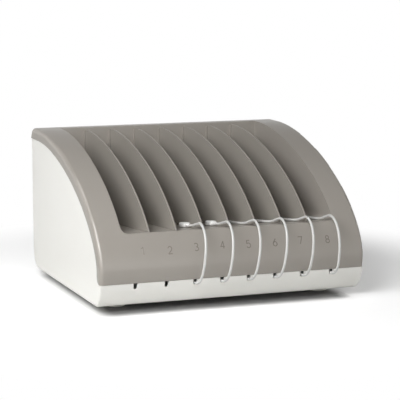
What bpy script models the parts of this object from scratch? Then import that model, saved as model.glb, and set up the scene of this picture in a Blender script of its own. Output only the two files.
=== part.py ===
"""USB charging station: a white base tub that holds the charger, under a lift-off cover with eight slots.

Run it with blender --background --python part.py, or from Blender's text editor.
Lengths are in metres. +X is the station's right, +Y its back and +Z up.
The origin lies on the floor, under the middle of the station.
"""
import math

import bmesh
import bpy
from mathutils import Matrix, Vector

# Whole station
WIDTH = 0.350
DEPTH = 0.304
HEIGHT = 0.196
FOOT_HEIGHT = 0.008
FIT_GAP = 0.0003
CUT_OVERRUN = 0.006
SLOT_COUNT = 8

# Side outline: a toe curve below the bulge, a long crest above it and a skirt at the back
BULGE_HEIGHT = 0.054
SPLIT_HEIGHT = 0.038
TOE_RUN = 0.024
LEVEL_RUN = 0.042
CREST_POWER = 1.68
SHOULDER_RUN = 0.008
SHOULDER_RADIUS = 0.010
HEEL_RADIUS = 0.020
SKIRT_OVERHANG = 0.007
REAR_DRAFT = 0.004
EDGE_RADIUS = 0.005
BOTTOM_EDGE_RADIUS = 0.009
TOE_STEPS = 6
CREST_STEPS = 26
CORNER_STEPS = 5
EDGE_STEPS = 3

# Cover
COVER_WALL = 0.0026
BAND = 0.014
BAND_TIP_RADIUS = 0.009
LIP_HEIGHT = 0.0955
FLOOR_FALL = math.radians(4.5)
SIDE_MARGIN = 0.034
RIM_DEPTH = 0.0275
WELL_WALL = 0.0022
WELL_CORNER_RADIUS = 0.008
TONGUE_DROP = 0.005
TONGUE_THICKNESS = 0.0018
TONGUE_LAND = 0.0010
TONGUE_PLACE_SHARES = ((0.31, 0.42), (0.54, 0.66), (0.79, 0.91))
TONGUE_TRIM_SHARE = 0.08
FRONT_TAB_WIDTH = 0.014
FRONT_TAB_RISE = 0.009

# Dividers and the grooves that hold them
DIVIDER_THICKNESS = 0.0020
DIVIDER_SET_BACK = 0.0005
DIVIDER_DROP = 0.0026
DIVIDER_TOE = 0.0012
RIB_THICKNESS = 0.0014
RIB_DEPTH = 0.0030
RIB_DROP = 0.0050
TAB_LENGTH = 0.012
TAB_DEPTH = 0.0045
TAB_SETBACK = 0.045

# Base tub
BASE_WALL = 0.0026
SEAM = 0.0003
REAR_UPSTAND = 0.0030
UPSTAND_INSET = 0.0006
NOTCH_WIDTH = 0.0048
NOTCH_DEPTH = 0.0074
NOTCH_STEPS = 6
NOTCH_PLACE_SHARES = (-0.743, -0.515, -0.303, -0.101, 0.101, 0.303, 0.515, 0.743)
VENT_COUNT = 9
VENT_LENGTH = 0.050
VENT_WIDTH = 0.0030
VENT_PITCH = 0.0120

# Feet
FOOT_DIAMETER = 0.028
FOOT_ROUND = 0.0035
FOOT_TAPER = 0.0005
FOOT_POCKET = 0.0010
FOOT_SIDE_INSET = 0.0378
FOOT_FRONT_INSET = 0.058
FOOT_REAR_INSET = 0.045
SPIGOT_DIAMETER = 0.0060
SPIGOT_STAND = 0.0016
SPIGOT_CHAMFER = 0.0008
TURN_STEPS = 16
SMALL_TURN_STEPS = 12

# Charger case
CASE_END_SPACE = 0.016
CASE_DEPTH = 0.114
CASE_LOWER_HEIGHT = 0.0186
CASE_UPPER_HEIGHT = 0.0170
CASE_WALL = 0.0022
CASE_CORNER = 0.0050
CASE_REAR_SPACE = 0.0120
CASE_VENT_COUNT = 10
CASE_VENT_LENGTH = 0.046
CASE_VENT_WIDTH = 0.0026
CASE_VENT_PITCH = 0.0160
CASE_TONGUE_DROP = 0.0016
CASE_TONGUE_THICKNESS = 0.0012
POST_DIAMETER = 0.0100
POST_HEIGHT = 0.0040
CASE_PIN_HEIGHT = 0.0040
STANDOFF_DIAMETER = 0.0070
STANDOFF_HEIGHT = 0.0050
STANDOFF_ROOF = 0.0010
FIXING_SIDE_INSET = 0.018
FIXING_END_INSET = 0.020
SCREW_DIAMETER = 0.0028
SCREW_HEAD_DIAMETER = 0.0058
SCREW_HEAD_HEIGHT = 0.0018
SCREW_CLEARANCE = 0.0003
CROSS_WIDTH = 0.0008
CROSS_LENGTH = 0.0034
CROSS_DEPTH = 0.0009

# Circuit board
BOARD_THICKNESS = 0.0016
BOARD_SIDE_SPACE = 0.0040
BOARD_FRONT_SPACE = 0.0010
BOARD_REAR_SPACE = 0.0060

# USB ports
PORT_PITCH = 0.0280
PORT_WIDTH = 0.0132
PORT_HEIGHT = 0.0066
PORT_DEPTH = 0.0140
PORT_WALL = 0.0004
PORT_POCKET = 0.0125
PORT_WINDOW_CLEARANCE = 0.0004
PORT_TONGUE_WIDTH = 0.0102
PORT_TONGUE_THICKNESS = 0.0012
PORT_TONGUE_LENGTH = 0.0085
PORT_TONGUE_RISE = 0.00035

# Mains inlet
INLET_END_SPACE = 0.043
INLET_WIDTH = 0.0240
INLET_HEIGHT = 0.0150
INLET_CORNER = 0.0030
INLET_BOARD_SEAT = 0.0090
INLET_SINK = 0.0010
INLET_CLEARANCE = 0.0005
SOCKET_WIDTH = 0.0176
SOCKET_HEIGHT = 0.0098
SOCKET_DEPTH = 0.0120
PIN_DIAMETER = 0.0024
PIN_SPACING = 0.0086
PIN_LENGTH = 0.0100

# Charging cables
FIRST_CABLE = 3
CORD_DIAMETER = 0.0032
LEAD_STRAIGHT = 0.0040
CABLE_SPACING_SHARE = 2.5
LEAD_SPACING_SHARE = 3.0
CURVE_STEPS = 12
PLUG_WIDTH = 0.0154
PLUG_HEIGHT = 0.0076
PLUG_LENGTH = 0.0220
PLUG_ROUND = 0.0016
PLUG_SHELL_WIDTH = 0.0120
PLUG_SHELL_HEIGHT = 0.0045
PLUG_SHELL_LENGTH = 0.0112
PLUG_SLOT_WIDTH = 0.0112
PLUG_SLOT_HEIGHT = 0.0022
PLUG_SLOT_DEPTH = 0.0088
PLUG_SHELL_WALL = 0.0004
PLUG_STOP_GAP = 0.0006
RELIEF_LENGTH = 0.0100
RELIEF_ROOT_DIAMETER = 0.0056
RELIEF_END_DIAMETER = 0.0040
RELIEF_STEPS = 10
UNION_SINK = 0.0012
CONNECTOR_WIDTH = 0.0104
CONNECTOR_LENGTH = 0.0120
CONNECTOR_HEIGHT = 0.0062
CONNECTOR_ROUND = 0.0018
CONNECTOR_RELIEF_LENGTH = 0.0060
TIP_WIDTH = 0.0083
TIP_HEIGHT = 0.0026
TIP_LENGTH = 0.0065
TIP_WALL = 0.0004
TIP_ROUND = 0.0009

# Sizes and places that follow from those above
CASE_WIDTH = SLOT_COUNT * PORT_PITCH + 2 * CASE_END_SPACE
INLET_PLACE = INLET_END_SPACE - CASE_WIDTH / 2
FRONT = -DEPTH / 2
BACK = DEPTH / 2
BASE_BACK = BACK - SKIRT_OVERHANG
CREST_END = BACK - LEVEL_RUN
SKIRT_FOOT = HEIGHT - BAND
FLOOR_TOP = FOOT_HEIGHT + BASE_WALL
WELL_BACK = BACK - RIM_DEPTH
WELL_HALF_WIDTH = WIDTH / 2 - SIDE_MARGIN
SLOT_PITCH = 2 * WELL_HALF_WIDTH / SLOT_COUNT
CASE_BACK = BASE_BACK - BASE_WALL - CASE_REAR_SPACE
CASE_FRONT = CASE_BACK - CASE_DEPTH
CASE_MIDDLE = (CASE_BACK + CASE_FRONT) / 2
CASE_BOTTOM = FLOOR_TOP + POST_HEIGHT + FIT_GAP
CASE_SPLIT = CASE_BOTTOM + CASE_LOWER_HEIGHT
CASE_TOP = CASE_SPLIT + FIT_GAP + CASE_UPPER_HEIGHT
BOARD_BOTTOM = CASE_BOTTOM + CASE_WALL + STANDOFF_HEIGHT + FIT_GAP
BOARD_TOP = BOARD_BOTTOM + BOARD_THICKNESS
PORT_MIDDLE = BOARD_TOP + FIT_GAP + PORT_HEIGHT / 2
PORT_FACE = CASE_FRONT + FIT_GAP
INLET_MIDDLE = BOARD_TOP + FIT_GAP + INLET_HEIGHT / 2
NOTCH_RADIUS = NOTCH_WIDTH / 2
NOTCH_MIDDLE = SPLIT_HEIGHT - NOTCH_DEPTH + NOTCH_RADIUS
NOTCH_PLACES = [share * WIDTH / 2 for share in NOTCH_PLACE_SHARES]

# Route of each cable in front of the panel and over the lip, as distance behind the front and
# height
RISE_ROUTE = (
    (0.0045, 0.0331), (0.0016, 0.0331), (-0.0020, 0.0334), (-0.0063, 0.0346),
    (-0.0102, 0.0370), (-0.0133, 0.0406), (-0.0156, 0.0453), (-0.0171, 0.0508),
    (-0.0179, 0.0568), (-0.0181, 0.0631), (-0.0176, 0.0695), (-0.0164, 0.0759),
    (-0.0144, 0.0821), (-0.0115, 0.0880), (-0.0076, 0.0934), (-0.0027, 0.0980),
    (0.0031, 0.1015), (0.0095, 0.1035), (0.0162, 0.1037), (0.0226, 0.1019))

# Place of each cable at the end of that route, across from its slot's middle
LIP_PLACES = {3: 0.0104, 4: 0.0111, 5: 0.0119, 6: 0.0126, 7: 0.0124, 8: 0.0101}

# The rest of each cable, as place across from its slot's middle, distance behind the front, and
# height above where it would lie on the slot's floor
LANDING_ROUTES = {
    3: ((0.0097, 0.0283, 0.0036), (0.0089, 0.0335, 0.0021), (0.0081, 0.0385, 0.0015),
        (0.0075, 0.0425, 0.0015)),
    4: ((0.0103, 0.0283, 0.0036), (0.0094, 0.0335, 0.0021), (0.0085, 0.0385, 0.0015),
        (0.0078, 0.0425, 0.0015)),
    5: ((0.0112, 0.0288, 0.0031), (0.0099, 0.0355, 0.0010), (0.0078, 0.0435, 0.0),
        (0.0050, 0.0520, 0.0), (0.0023, 0.0610, 0.0), (0.0004, 0.0705, 0.0002),
        (-0.0005, 0.0795, 0.0008), (-0.0008, 0.0870, 0.0015), (-0.0008, 0.0930, 0.0015)),
    6: ((0.0119, 0.0288, 0.0031), (0.0103, 0.0355, 0.0010), (0.0077, 0.0435, 0.0),
        (0.0045, 0.0520, 0.0), (0.0016, 0.0610, 0.0), (-0.0003, 0.0705, 0.0002),
        (-0.0010, 0.0795, 0.0008), (-0.0009, 0.0870, 0.0015), (-0.0007, 0.0930, 0.0015)),
    7: ((0.0118, 0.0288, 0.0031), (0.0107, 0.0355, 0.0010), (0.0084, 0.0440, 0.0),
        (0.0048, 0.0535, 0.0), (0.0005, 0.0635, 0.0), (-0.0035, 0.0740, 0.0),
        (-0.0063, 0.0850, 0.0), (-0.0074, 0.0965, 0.0), (-0.0066, 0.1080, 0.0),
        (-0.0042, 0.1190, 0.0), (-0.0011, 0.1300, 0.0), (0.0016, 0.1410, 0.0),
        (0.0031, 0.1525, 0.0), (0.0030, 0.1640, 0.0), (0.0018, 0.1750, 0.0002),
        (0.0005, 0.1850, 0.0008), (-0.0003, 0.1930, 0.0015), (-0.0006, 0.1990, 0.0015)),
    8: ((0.0094, 0.0288, 0.0031), (0.0083, 0.0355, 0.0010), (0.0065, 0.0440, 0.0),
        (0.0041, 0.0535, 0.0), (0.0014, 0.0635, 0.0), (-0.0010, 0.0740, 0.0),
        (-0.0026, 0.0850, 0.0), (-0.0029, 0.0965, 0.0), (-0.0017, 0.1080, 0.0),
        (0.0006, 0.1190, 0.0), (0.0029, 0.1300, 0.0), (0.0044, 0.1410, 0.0),
        (0.0046, 0.1525, 0.0), (0.0036, 0.1640, 0.0), (0.0019, 0.1750, 0.0002),
        (0.0005, 0.1850, 0.0008), (-0.0003, 0.1930, 0.0015), (-0.0006, 0.1990, 0.0015))}

# Route of each lead inside the base, as shares of the way across and forwards from its plug to
# its notch, and of the rise from lying on the floor to the middle of the plug
LEAD_ROUTE_SHARES = (
    (0.01, 0.078, 0.934), (0.04, 0.123, 0.762), (0.09, 0.170, 0.517),
    (0.15, 0.222, 0.278), (0.23, 0.283, 0.099), (0.33, 0.351, 0.013),
    (0.44, 0.420, 0.0), (0.56, 0.488, 0.0), (0.67, 0.557, 0.013),
    (0.77, 0.625, 0.066), (0.86, 0.694, 0.199), (0.93, 0.759, 0.444),
    (0.97, 0.820, 0.781), (0.99, 0.877, 1.099), (1.00, 0.941, 1.318))

for thing in list(bpy.data.objects):
    bpy.data.objects.remove(thing, do_unlink=True)


def new_collection(name):
    """Collection of this name, made anew and linked to the scene."""
    collection = bpy.data.collections.new(name)
    bpy.context.scene.collection.children.link(collection)
    return collection


STATION = new_collection("usb_charging_station")
CUTTERS = new_collection("cutters")


def plastic(name, colour, roughness, metallic=0.0):
    """Principled material with one colour, given as linear red, green and blue."""
    material = bpy.data.materials.new(name)
    material.use_nodes = True
    shader = material.node_tree.nodes["Principled BSDF"]
    shader.inputs["Base Color"].default_value = (*colour, 1.0)
    shader.inputs["Roughness"].default_value = roughness
    shader.inputs["Metallic"].default_value = metallic
    return material


WHITE_SHELL = plastic("white_shell", (0.84, 0.83, 0.80), 0.30)
TAUPE_COVER = plastic("taupe_cover", (0.33, 0.29, 0.25), 0.50)
TAUPE_DIVIDER = plastic("taupe_divider", (0.32, 0.28, 0.24), 0.50)
CLEAR_RUBBER = plastic("clear_rubber", (0.55, 0.56, 0.50), 0.45)
BLACK_CASE = plastic("black_case", (0.02, 0.02, 0.02), 0.55)
BOARD_GREEN = plastic("board_green", (0.02, 0.12, 0.05), 0.40)
PORT_STEEL = plastic("port_steel", (0.60, 0.60, 0.60), 0.30, 1.0)
PIN_BRASS = plastic("pin_brass", (0.70, 0.55, 0.30), 0.30, 1.0)
SCREW_STEEL = plastic("screw_steel", (0.45, 0.45, 0.45), 0.35, 1.0)
CABLE_WHITE = plastic("cable_white", (0.86, 0.86, 0.85), 0.40)


def finish(thing, material, parent=None, angle=math.radians(32)):
    """Give a finished piece its material, its smooth shading and its parent."""
    thing.data.materials.clear()
    thing.data.materials.append(material)
    thing.data.shade_smooth()
    thing.data.set_sharp_from_angle(angle=angle)
    thing.parent = parent
    return thing


def mesh_object(name, mesh, collection):
    """Object that shows a mesh, in one of the two collections."""
    thing = bpy.data.objects.new(name, mesh)
    collection.objects.link(thing)
    if collection is CUTTERS:
        thing.hide_render = True
        thing.display_type = "WIRE"
    return thing


def evaluated_mesh(thing, name):
    """Mesh of an object with its modifiers and its curve settings worked in."""
    bpy.context.view_layer.update()
    seen = thing.evaluated_get(bpy.context.evaluated_depsgraph_get())
    mesh = bpy.data.meshes.new_from_object(seen)
    mesh.name = name
    return mesh


def settle(thing, name, material=None, parent=None):
    """Replace a piece that has modifiers by one plain mesh, ready to be copied."""
    mesh = evaluated_mesh(thing, name)
    thing.modifiers.clear()
    thing.data = mesh
    if material is not None:
        finish(thing, material, parent)
    return thing


SIDE_VIEW = Matrix(((0, 0, 1, 0), (1, 0, 0, 0), (0, 1, 0, 0), (0, 0, 0, 1)))
FRONT_VIEW = Matrix(((1, 0, 0, 0), (0, 0, -1, 0), (0, 1, 0, 0), (0, 0, 0, 1)))


def outline_solid(name, outline, span, collection, view=SIDE_VIEW, middle=0.0):
    """Solid of a flat outline, spread to both sides of the outline's plane.

    In the side view the outline is drawn as depth and height and spreads along X.
    In the front view it is drawn as place across and height and spreads along Y.
    """
    curve = bpy.data.curves.new(name, "CURVE")
    curve.dimensions = "2D"
    curve.fill_mode = "BOTH"
    curve.extrude = span / 2
    spline = curve.splines.new("POLY")
    spline.points.add(len(outline) - 1)
    for point, (across, up) in zip(spline.points, outline):
        point.co = (across, up, 0, 1)
    spline.use_cyclic_u = True
    drawn = bpy.data.objects.new(name, curve)
    STATION.objects.link(drawn)
    mesh = evaluated_mesh(drawn, name)
    bpy.data.objects.remove(drawn)
    shift = Vector((middle, 0, 0)) if view is SIDE_VIEW else Vector((0, middle, 0))
    mesh.transform(Matrix.Translation(shift) @ view)
    work = bmesh.new()
    work.from_mesh(mesh)
    bmesh.ops.remove_doubles(work, verts=work.verts, dist=FIT_GAP / 100)
    flat = math.radians(0.1)
    bmesh.ops.dissolve_limit(work, angle_limit=flat, verts=work.verts, edges=work.edges)
    bmesh.ops.recalc_face_normals(work, faces=work.faces)
    work.to_mesh(mesh)
    work.free()
    return mesh_object(name, mesh, collection)


def box_mesh(name, boxes):
    """Mesh of separate boxes, each given by its lowest and its highest corner."""
    work = bmesh.new()
    for low, high in boxes:
        low = Vector(low)
        high = Vector(high)
        place = Matrix.Translation((low + high) / 2) @ Matrix.Diagonal((*(high - low), 1))
        bmesh.ops.create_cube(work, size=1, matrix=place)
    mesh = bpy.data.meshes.new(name)
    work.to_mesh(mesh)
    work.free()
    return mesh


def rod_mesh(name, rods, steps=TURN_STEPS):
    """Mesh of separate round rods or cones, each given by two ends and two diameters."""
    work = bmesh.new()
    for start, end, first, second in rods:
        start = Vector(start)
        run = Vector(end) - start
        turn = Vector((0, 0, 1)).rotation_difference(run).to_matrix().to_4x4()
        place = Matrix.Translation(start + run / 2) @ turn
        bmesh.ops.create_cone(work, cap_ends=True, segments=steps, radius1=first / 2,
                              radius2=second / 2, depth=run.length, matrix=place)
    mesh = bpy.data.meshes.new(name)
    work.to_mesh(mesh)
    work.free()
    return mesh


def combine(thing, other, operation):
    """Add a Boolean modifier that joins the other object or cuts it away."""
    modifier = thing.modifiers.new(other.name, "BOOLEAN")
    modifier.operation = operation
    modifier.solver = "EXACT"
    modifier.object = other
    return modifier


def cut(thing, other):
    return combine(thing, other, "DIFFERENCE")


def join(thing, other):
    return combine(thing, other, "UNION")


def bevel(thing, width, steps, by_weight=False):
    """Round the marked edges of a piece, or all of its edges."""
    modifier = thing.modifiers.new("rounded_edges", "BEVEL")
    modifier.width = width
    modifier.segments = steps
    modifier.limit_method = "WEIGHT" if by_weight else "ANGLE"
    modifier.angle_limit = math.radians(40)
    modifier.use_clamp_overlap = True
    return modifier


def weigh_edges(thing, weight_of):
    """Mark edges for rounding, with the weight that a function gives each edge's two ends."""
    work = bmesh.new()
    work.from_mesh(thing.data)
    layer = work.edges.layers.float.new("bevel_weight_edge")
    for edge in work.edges:
        edge[layer] = weight_of(edge.verts[0].co, edge.verts[1].co)
    work.to_mesh(thing.data)
    work.free()


def rounded(before, corner, after, radius, steps=CORNER_STEPS):
    """Points of the arc that rounds a corner between two straight runs."""
    back = (before - corner).normalized()
    ahead = (after - corner).normalized()
    half = back.angle(ahead) / 2
    middle = corner + (back + ahead).normalized() * (radius / math.sin(half))
    first = corner + back * (radius / math.tan(half)) - middle
    last = corner + ahead * (radius / math.tan(half)) - middle
    return [middle + first.slerp(last, step / steps) * radius for step in range(steps + 1)]


def inset(line, distance):
    """Open line of points moved inwards, which is to the right of its run."""
    moved = []
    for place, point in enumerate(line):
        ahead = (line[min(place + 1, len(line) - 1)] - line[min(place, len(line) - 2)])
        back = (line[max(place, 1)] - line[max(place - 1, 0)])
        first = Vector((back.y, -back.x)).normalized()
        second = Vector((ahead.y, -ahead.x)).normalized()
        moved.append(point + (first + second) * (distance / (1 + first.dot(second))))
    return moved


def toe_point(turn):
    """Point of the curve from the bulge, at turn 0, down to the flat underside."""
    reach = TOE_RUN * math.cos(turn)
    fall = (BULGE_HEIGHT - FOOT_HEIGHT) * math.sin(turn)
    return Vector((FRONT + TOE_RUN - reach, BULGE_HEIGHT - fall))


def toe_turn(height):
    """Turn at which the toe curve passes a height."""
    return math.asin((BULGE_HEIGHT - height) / (BULGE_HEIGHT - FOOT_HEIGHT))


def toe_inside(height, wall):
    """Depth of the inner side of a wall along the toe curve, at a height."""
    turn = toe_turn(height)
    slope = math.atan2(TOE_RUN * math.sin(turn), (BULGE_HEIGHT - FOOT_HEIGHT) * math.cos(turn))
    return toe_point(turn).x + wall / math.cos(slope)


def rear_wall(height):
    """Depth of the outside of the base's rear wall, which leans out towards its top."""
    share = (height - FOOT_HEIGHT) / (SKIRT_FOOT - FOOT_HEIGHT)
    return BASE_BACK - REAR_DRAFT * (1 - share)


def crest_point(turn):
    """Point of the curve from the bulge, at turn 0, up to where the top runs level."""
    power = 2 / CREST_POWER
    reach = (CREST_END - FRONT) * math.cos(turn) ** power
    rise = (HEIGHT - BULGE_HEIGHT) * math.sin(turn) ** power
    return Vector((CREST_END - reach, BULGE_HEIGHT + rise))


def crest_depth(height):
    """Depth at which the crest passes a height above the bulge."""
    rise = (height - BULGE_HEIGHT) / (HEIGHT - BULGE_HEIGHT)
    reach = (1 - rise ** CREST_POWER) ** (1 / CREST_POWER)
    return CREST_END - (CREST_END - FRONT) * reach


def even_turn(share):
    """Turn for a share of the way over the crest, between even steps of turn and of slope."""
    turn = math.pi / 2 * share
    if share in (0, 1):
        return turn
    grade = math.tan(math.pi / 2 - turn) * (CREST_END - FRONT) / (HEIGHT - BULGE_HEIGHT)
    return (turn + math.atan(grade ** (1 / (2 / CREST_POWER - 2)))) / 2


def crest_line(fall=0.0):
    """The crest by itself, from the bulge to where the top runs level.

    With a fall, the line sinks below the crest evenly with its rise, until it lies the fall lower.
    """
    line = [crest_point(even_turn(step / CREST_STEPS)) for step in range(CREST_STEPS)]
    line.append(Vector((CREST_END, HEIGHT)))
    scale = 1 - fall / (HEIGHT - BULGE_HEIGHT)
    return [Vector((point.x, BULGE_HEIGHT + (point.y - BULGE_HEIGHT) * scale)) for point in line]


def cover_line(overrun):
    """Outside of the cover from the split, over the crest, to the foot of its skirt.

    Both ends run on past the cover's edges by the overrun.
    """
    first = toe_turn(SPLIT_HEIGHT - overrun)
    belly = [toe_point(first * (1 - step / TOE_STEPS)) for step in range(TOE_STEPS)]
    corner = Vector((BACK - SHOULDER_RUN, HEIGHT))
    foot = Vector((BACK, SKIRT_FOOT))
    shoulder = rounded(Vector((CREST_END, HEIGHT)), corner, foot, SHOULDER_RADIUS)
    end = foot + (foot - corner).normalized() * overrun
    return belly + crest_line() + shoulder + [end]


def seam_line(gap):
    """Edge of the cover's side band from front to back, moved by a gap into the base."""
    band = inset(crest_line(), BAND + gap)
    band[0] = Vector((FRONT + BAND + gap, BULGE_HEIGHT))
    band[-1] = Vector((CREST_END, SKIRT_FOOT - gap))
    corner = Vector((FRONT + BAND + gap, SPLIT_HEIGHT - gap))
    front = Vector((FRONT, SPLIT_HEIGHT - gap))
    return rounded(front, corner, band[0], BAND_TIP_RADIUS) + band


def well_floor(depth):
    """Height of the slots' floor, which falls from the lip to the back."""
    return LIP_HEIGHT - (depth - crest_depth(LIP_HEIGHT)) * math.tan(FLOOR_FALL)


def divider_places():
    """Places across of the seven dividers between the eight slots."""
    return [(number - SLOT_COUNT / 2) * SLOT_PITCH for number in range(1, SLOT_COUNT)]


def slot_middle(number):
    """Place across of the middle of a slot, counted from 1 at the left."""
    return (number - (SLOT_COUNT + 1) / 2) * SLOT_PITCH


def tab_starts():
    """Depths at which the two tabs under each divider begin."""
    return (crest_depth(LIP_HEIGHT) + TAB_SETBACK, WELL_BACK - TAB_SETBACK - TAB_LENGTH)


def screw_places():
    """Places of the two screws that hold the charger case at its front, seen from above."""
    across = CASE_WIDTH / 2 - FIXING_SIDE_INSET
    return [(-across, CASE_FRONT + FIXING_END_INSET), (across, CASE_FRONT + FIXING_END_INSET)]


def pin_places():
    """Places of the two pins that locate the charger case at its back, seen from above."""
    across = CASE_WIDTH / 2 - FIXING_SIDE_INSET
    return [(-across, CASE_BACK - FIXING_END_INSET), (across, CASE_BACK - FIXING_END_INSET)]


def port_place(number):
    """Place across of a USB port, counted from 1 at the left."""
    return (number - (SLOT_COUNT + 1) / 2) * PORT_PITCH


# Cover
def cover_edge_weight(first, second):
    """Weight 1 on the two long side edges of the cover's outside, and 0 elsewhere."""
    line = cover_line(CUT_OVERRUN)
    on_side = abs(first.x - second.x) < FIT_GAP
    closing = min(first.z, second.z) < line[0].y + FIT_GAP / 10 and abs(first.z - second.z) < FIT_GAP
    upright = min(first.y, second.y) > line[-1].x - FIT_GAP / 10
    return 1.0 if on_side and not closing and not upright else 0.0


def cover_block():
    """Solid under the cover's outside, with its two long side edges rounded."""
    line = cover_line(CUT_OVERRUN)
    outline = line + [Vector((line[-1].x, line[0].y))]
    block = outline_solid("lift_off_cover", outline, WIDTH, STATION)
    weigh_edges(block, cover_edge_weight)
    bevel(block, EDGE_RADIUS, EDGE_STEPS, by_weight=True)
    return block


def cover_hollow():
    """Room under the cover's skin."""
    line = inset(cover_line(2 * CUT_OVERRUN), COVER_WALL)
    outline = line + [Vector((line[-1].x, line[0].y))]
    return outline_solid("cut_cover_hollow", outline, WIDTH - 2 * COVER_WALL, CUTTERS)


def cover_arch():
    """Room below the edge of the cover's side bands, where the base's walls stand."""
    low = SPLIT_HEIGHT - 3 * CUT_OVERRUN
    front = FRONT - CUT_OVERRUN
    back = BACK + 2 * CUT_OVERRUN
    outline = [Vector((front, SPLIT_HEIGHT))] + seam_line(0.0)
    outline += [Vector((back, SKIRT_FOOT)), Vector((back, low)), Vector((front, low))]
    return outline_solid("cut_cover_arch", outline, WIDTH + 2 * CUT_OVERRUN, CUTTERS)


def well_block():
    """Solid that becomes the slots' floor, side walls and rear wall."""
    skin = [point for point in inset(crest_line(), COVER_WALL / 2)
            if point.y > LIP_HEIGHT - WELL_WALL and point.x < WELL_BACK]
    rear = WELL_BACK + WELL_WALL
    front = skin[0].x
    outline = [Vector((front, well_floor(front) - WELL_WALL))] + skin
    outline += [Vector((rear, HEIGHT - COVER_WALL / 2)), Vector((rear, well_floor(rear) - WELL_WALL))]
    return outline_solid("join_well_block", outline, 2 * (WELL_HALF_WIDTH + WELL_WALL), CUTTERS)


def well_cavity():
    """Room of the eight slots together, open at the top and the front."""
    front = FRONT - CUT_OVERRUN
    top = HEIGHT + CUT_OVERRUN
    outline = [Vector((front, well_floor(front))), Vector((front, top)), Vector((WELL_BACK, top)),
               Vector((WELL_BACK, well_floor(WELL_BACK)))]
    cavity = outline_solid("cut_well_cavity", outline, 2 * WELL_HALF_WIDTH, CUTTERS)

    def floor_edge(first, second):
        low = max(first.z, second.z) < LIP_HEIGHT + CUT_OVERRUN
        return 1.0 if low and abs(first.x - second.x) < FIT_GAP else 0.0

    weigh_edges(cavity, floor_edge)
    bevel(cavity, WELL_CORNER_RADIUS, CORNER_STEPS, by_weight=True)
    return cavity


def guide_ribs():
    """Pairs of upright ribs on the slots' rear wall, which hold the dividers' rear edges."""
    reach = DIVIDER_THICKNESS / 2 + FIT_GAP
    boxes = []
    for place in divider_places():
        for side in (-1, 1):
            near = place + side * reach
            far = near + side * RIB_THICKNESS
            boxes.append(((min(near, far), WELL_BACK - RIB_DEPTH, well_floor(WELL_BACK) - WELL_WALL / 2),
                          (max(near, far), WELL_BACK + WELL_WALL / 2, HEIGHT - RIB_DROP)))
    return mesh_object("join_guide_ribs", box_mesh("join_guide_ribs", boxes), CUTTERS)


def tab_slots():
    """Slots in the floor that take the tabs under the dividers."""
    reach = DIVIDER_THICKNESS / 2 + FIT_GAP
    boxes = []
    for place in divider_places():
        for start in tab_starts():
            low = well_floor(start + TAB_LENGTH) - WELL_WALL - CUT_OVERRUN
            boxes.append(((place - reach, start - FIT_GAP, low),
                          (place + reach, start + TAB_LENGTH + FIT_GAP, LIP_HEIGHT + CUT_OVERRUN)))
    return mesh_object("cut_tab_slots", box_mesh("cut_tab_slots", boxes), CUTTERS)


def band_strip(start, end, high, low):
    """Side outline of a strip along the crest, between two shares of its turn and two insets."""
    steps = CREST_STEPS // 4
    turns = [math.pi / 2 * (start + (end - start) * step / steps) for step in range(steps + 1)]
    line = [crest_point(turn) for turn in turns]
    return inset(line, high) + inset(line, low)[::-1]


def side_tongues():
    """Ribs under the cover that slip inside the base's side walls, three on each side.

    Each is a rib against the cover's side wall, with a thinner tongue that hangs below the band.
    """
    outer = WIDTH / 2 - COVER_WALL / 2
    face = WIDTH / 2 - max(COVER_WALL, BASE_WALL) - FIT_GAP
    inner = face - TONGUE_THICKNESS
    tongues = []
    for number, (start, end) in enumerate(TONGUE_PLACE_SHARES, 1):
        trim = (end - start) * TONGUE_TRIM_SHARE
        rib = band_strip(start, end, COVER_WALL / 2, BAND - TONGUE_LAND)
        tongue = band_strip(start + trim, end - trim, BAND / 2, BAND + TONGUE_DROP)
        for side, hand in ((-1, "left"), (1, "right")):
            low = inner - FIT_GAP
            tongues.append(outline_solid("join_rib_%d_%s" % (number, hand), rib, outer - low, CUTTERS,
                                         middle=side * (outer + low) / 2))
            tongues.append(outline_solid("join_tongue_%d_%s" % (number, hand), tongue, face - inner, CUTTERS,
                                         middle=side * (face + inner) / 2))
    return tongues


def front_tabs():
    """Hooks inside the front panel that slip behind the base's front wall, between the notches."""
    low = SPLIT_HEIGHT - TONGUE_DROP
    high = SPLIT_HEIGHT + FRONT_TAB_RISE
    edge = SPLIT_HEIGHT + TONGUE_LAND
    wall = toe_inside(low, BASE_WALL) + FIT_GAP
    panel = toe_inside(high, COVER_WALL / 2)
    back = wall + TONGUE_THICKNESS
    outline = [Vector((wall, low)), Vector((wall, edge)), Vector((panel, edge)),
               Vector((panel, high)), Vector((back, high)), Vector((back, low))]
    places = [(NOTCH_PLACES[first] + NOTCH_PLACES[first + 1]) / 2
              for first in (0, SLOT_COUNT // 2 - 1, SLOT_COUNT - 2)]
    return [outline_solid("join_front_tab_%d" % number, outline, FRONT_TAB_WIDTH, CUTTERS, middle=place)
            for number, place in enumerate(places, 1)]


def make_cover(parent):
    """The lift-off cover: one moulding with a front panel, side bands, a skirt and the slots' well."""
    cover = cover_block()
    cut(cover, cover_hollow())
    cut(cover, cover_arch())
    join(cover, well_block())
    cut(cover, well_cavity())
    join(cover, guide_ribs())
    for tongue in side_tongues() + front_tabs():
        join(cover, tongue)
    cut(cover, tab_slots())
    return finish(cover, TAUPE_COVER, parent)


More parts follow.
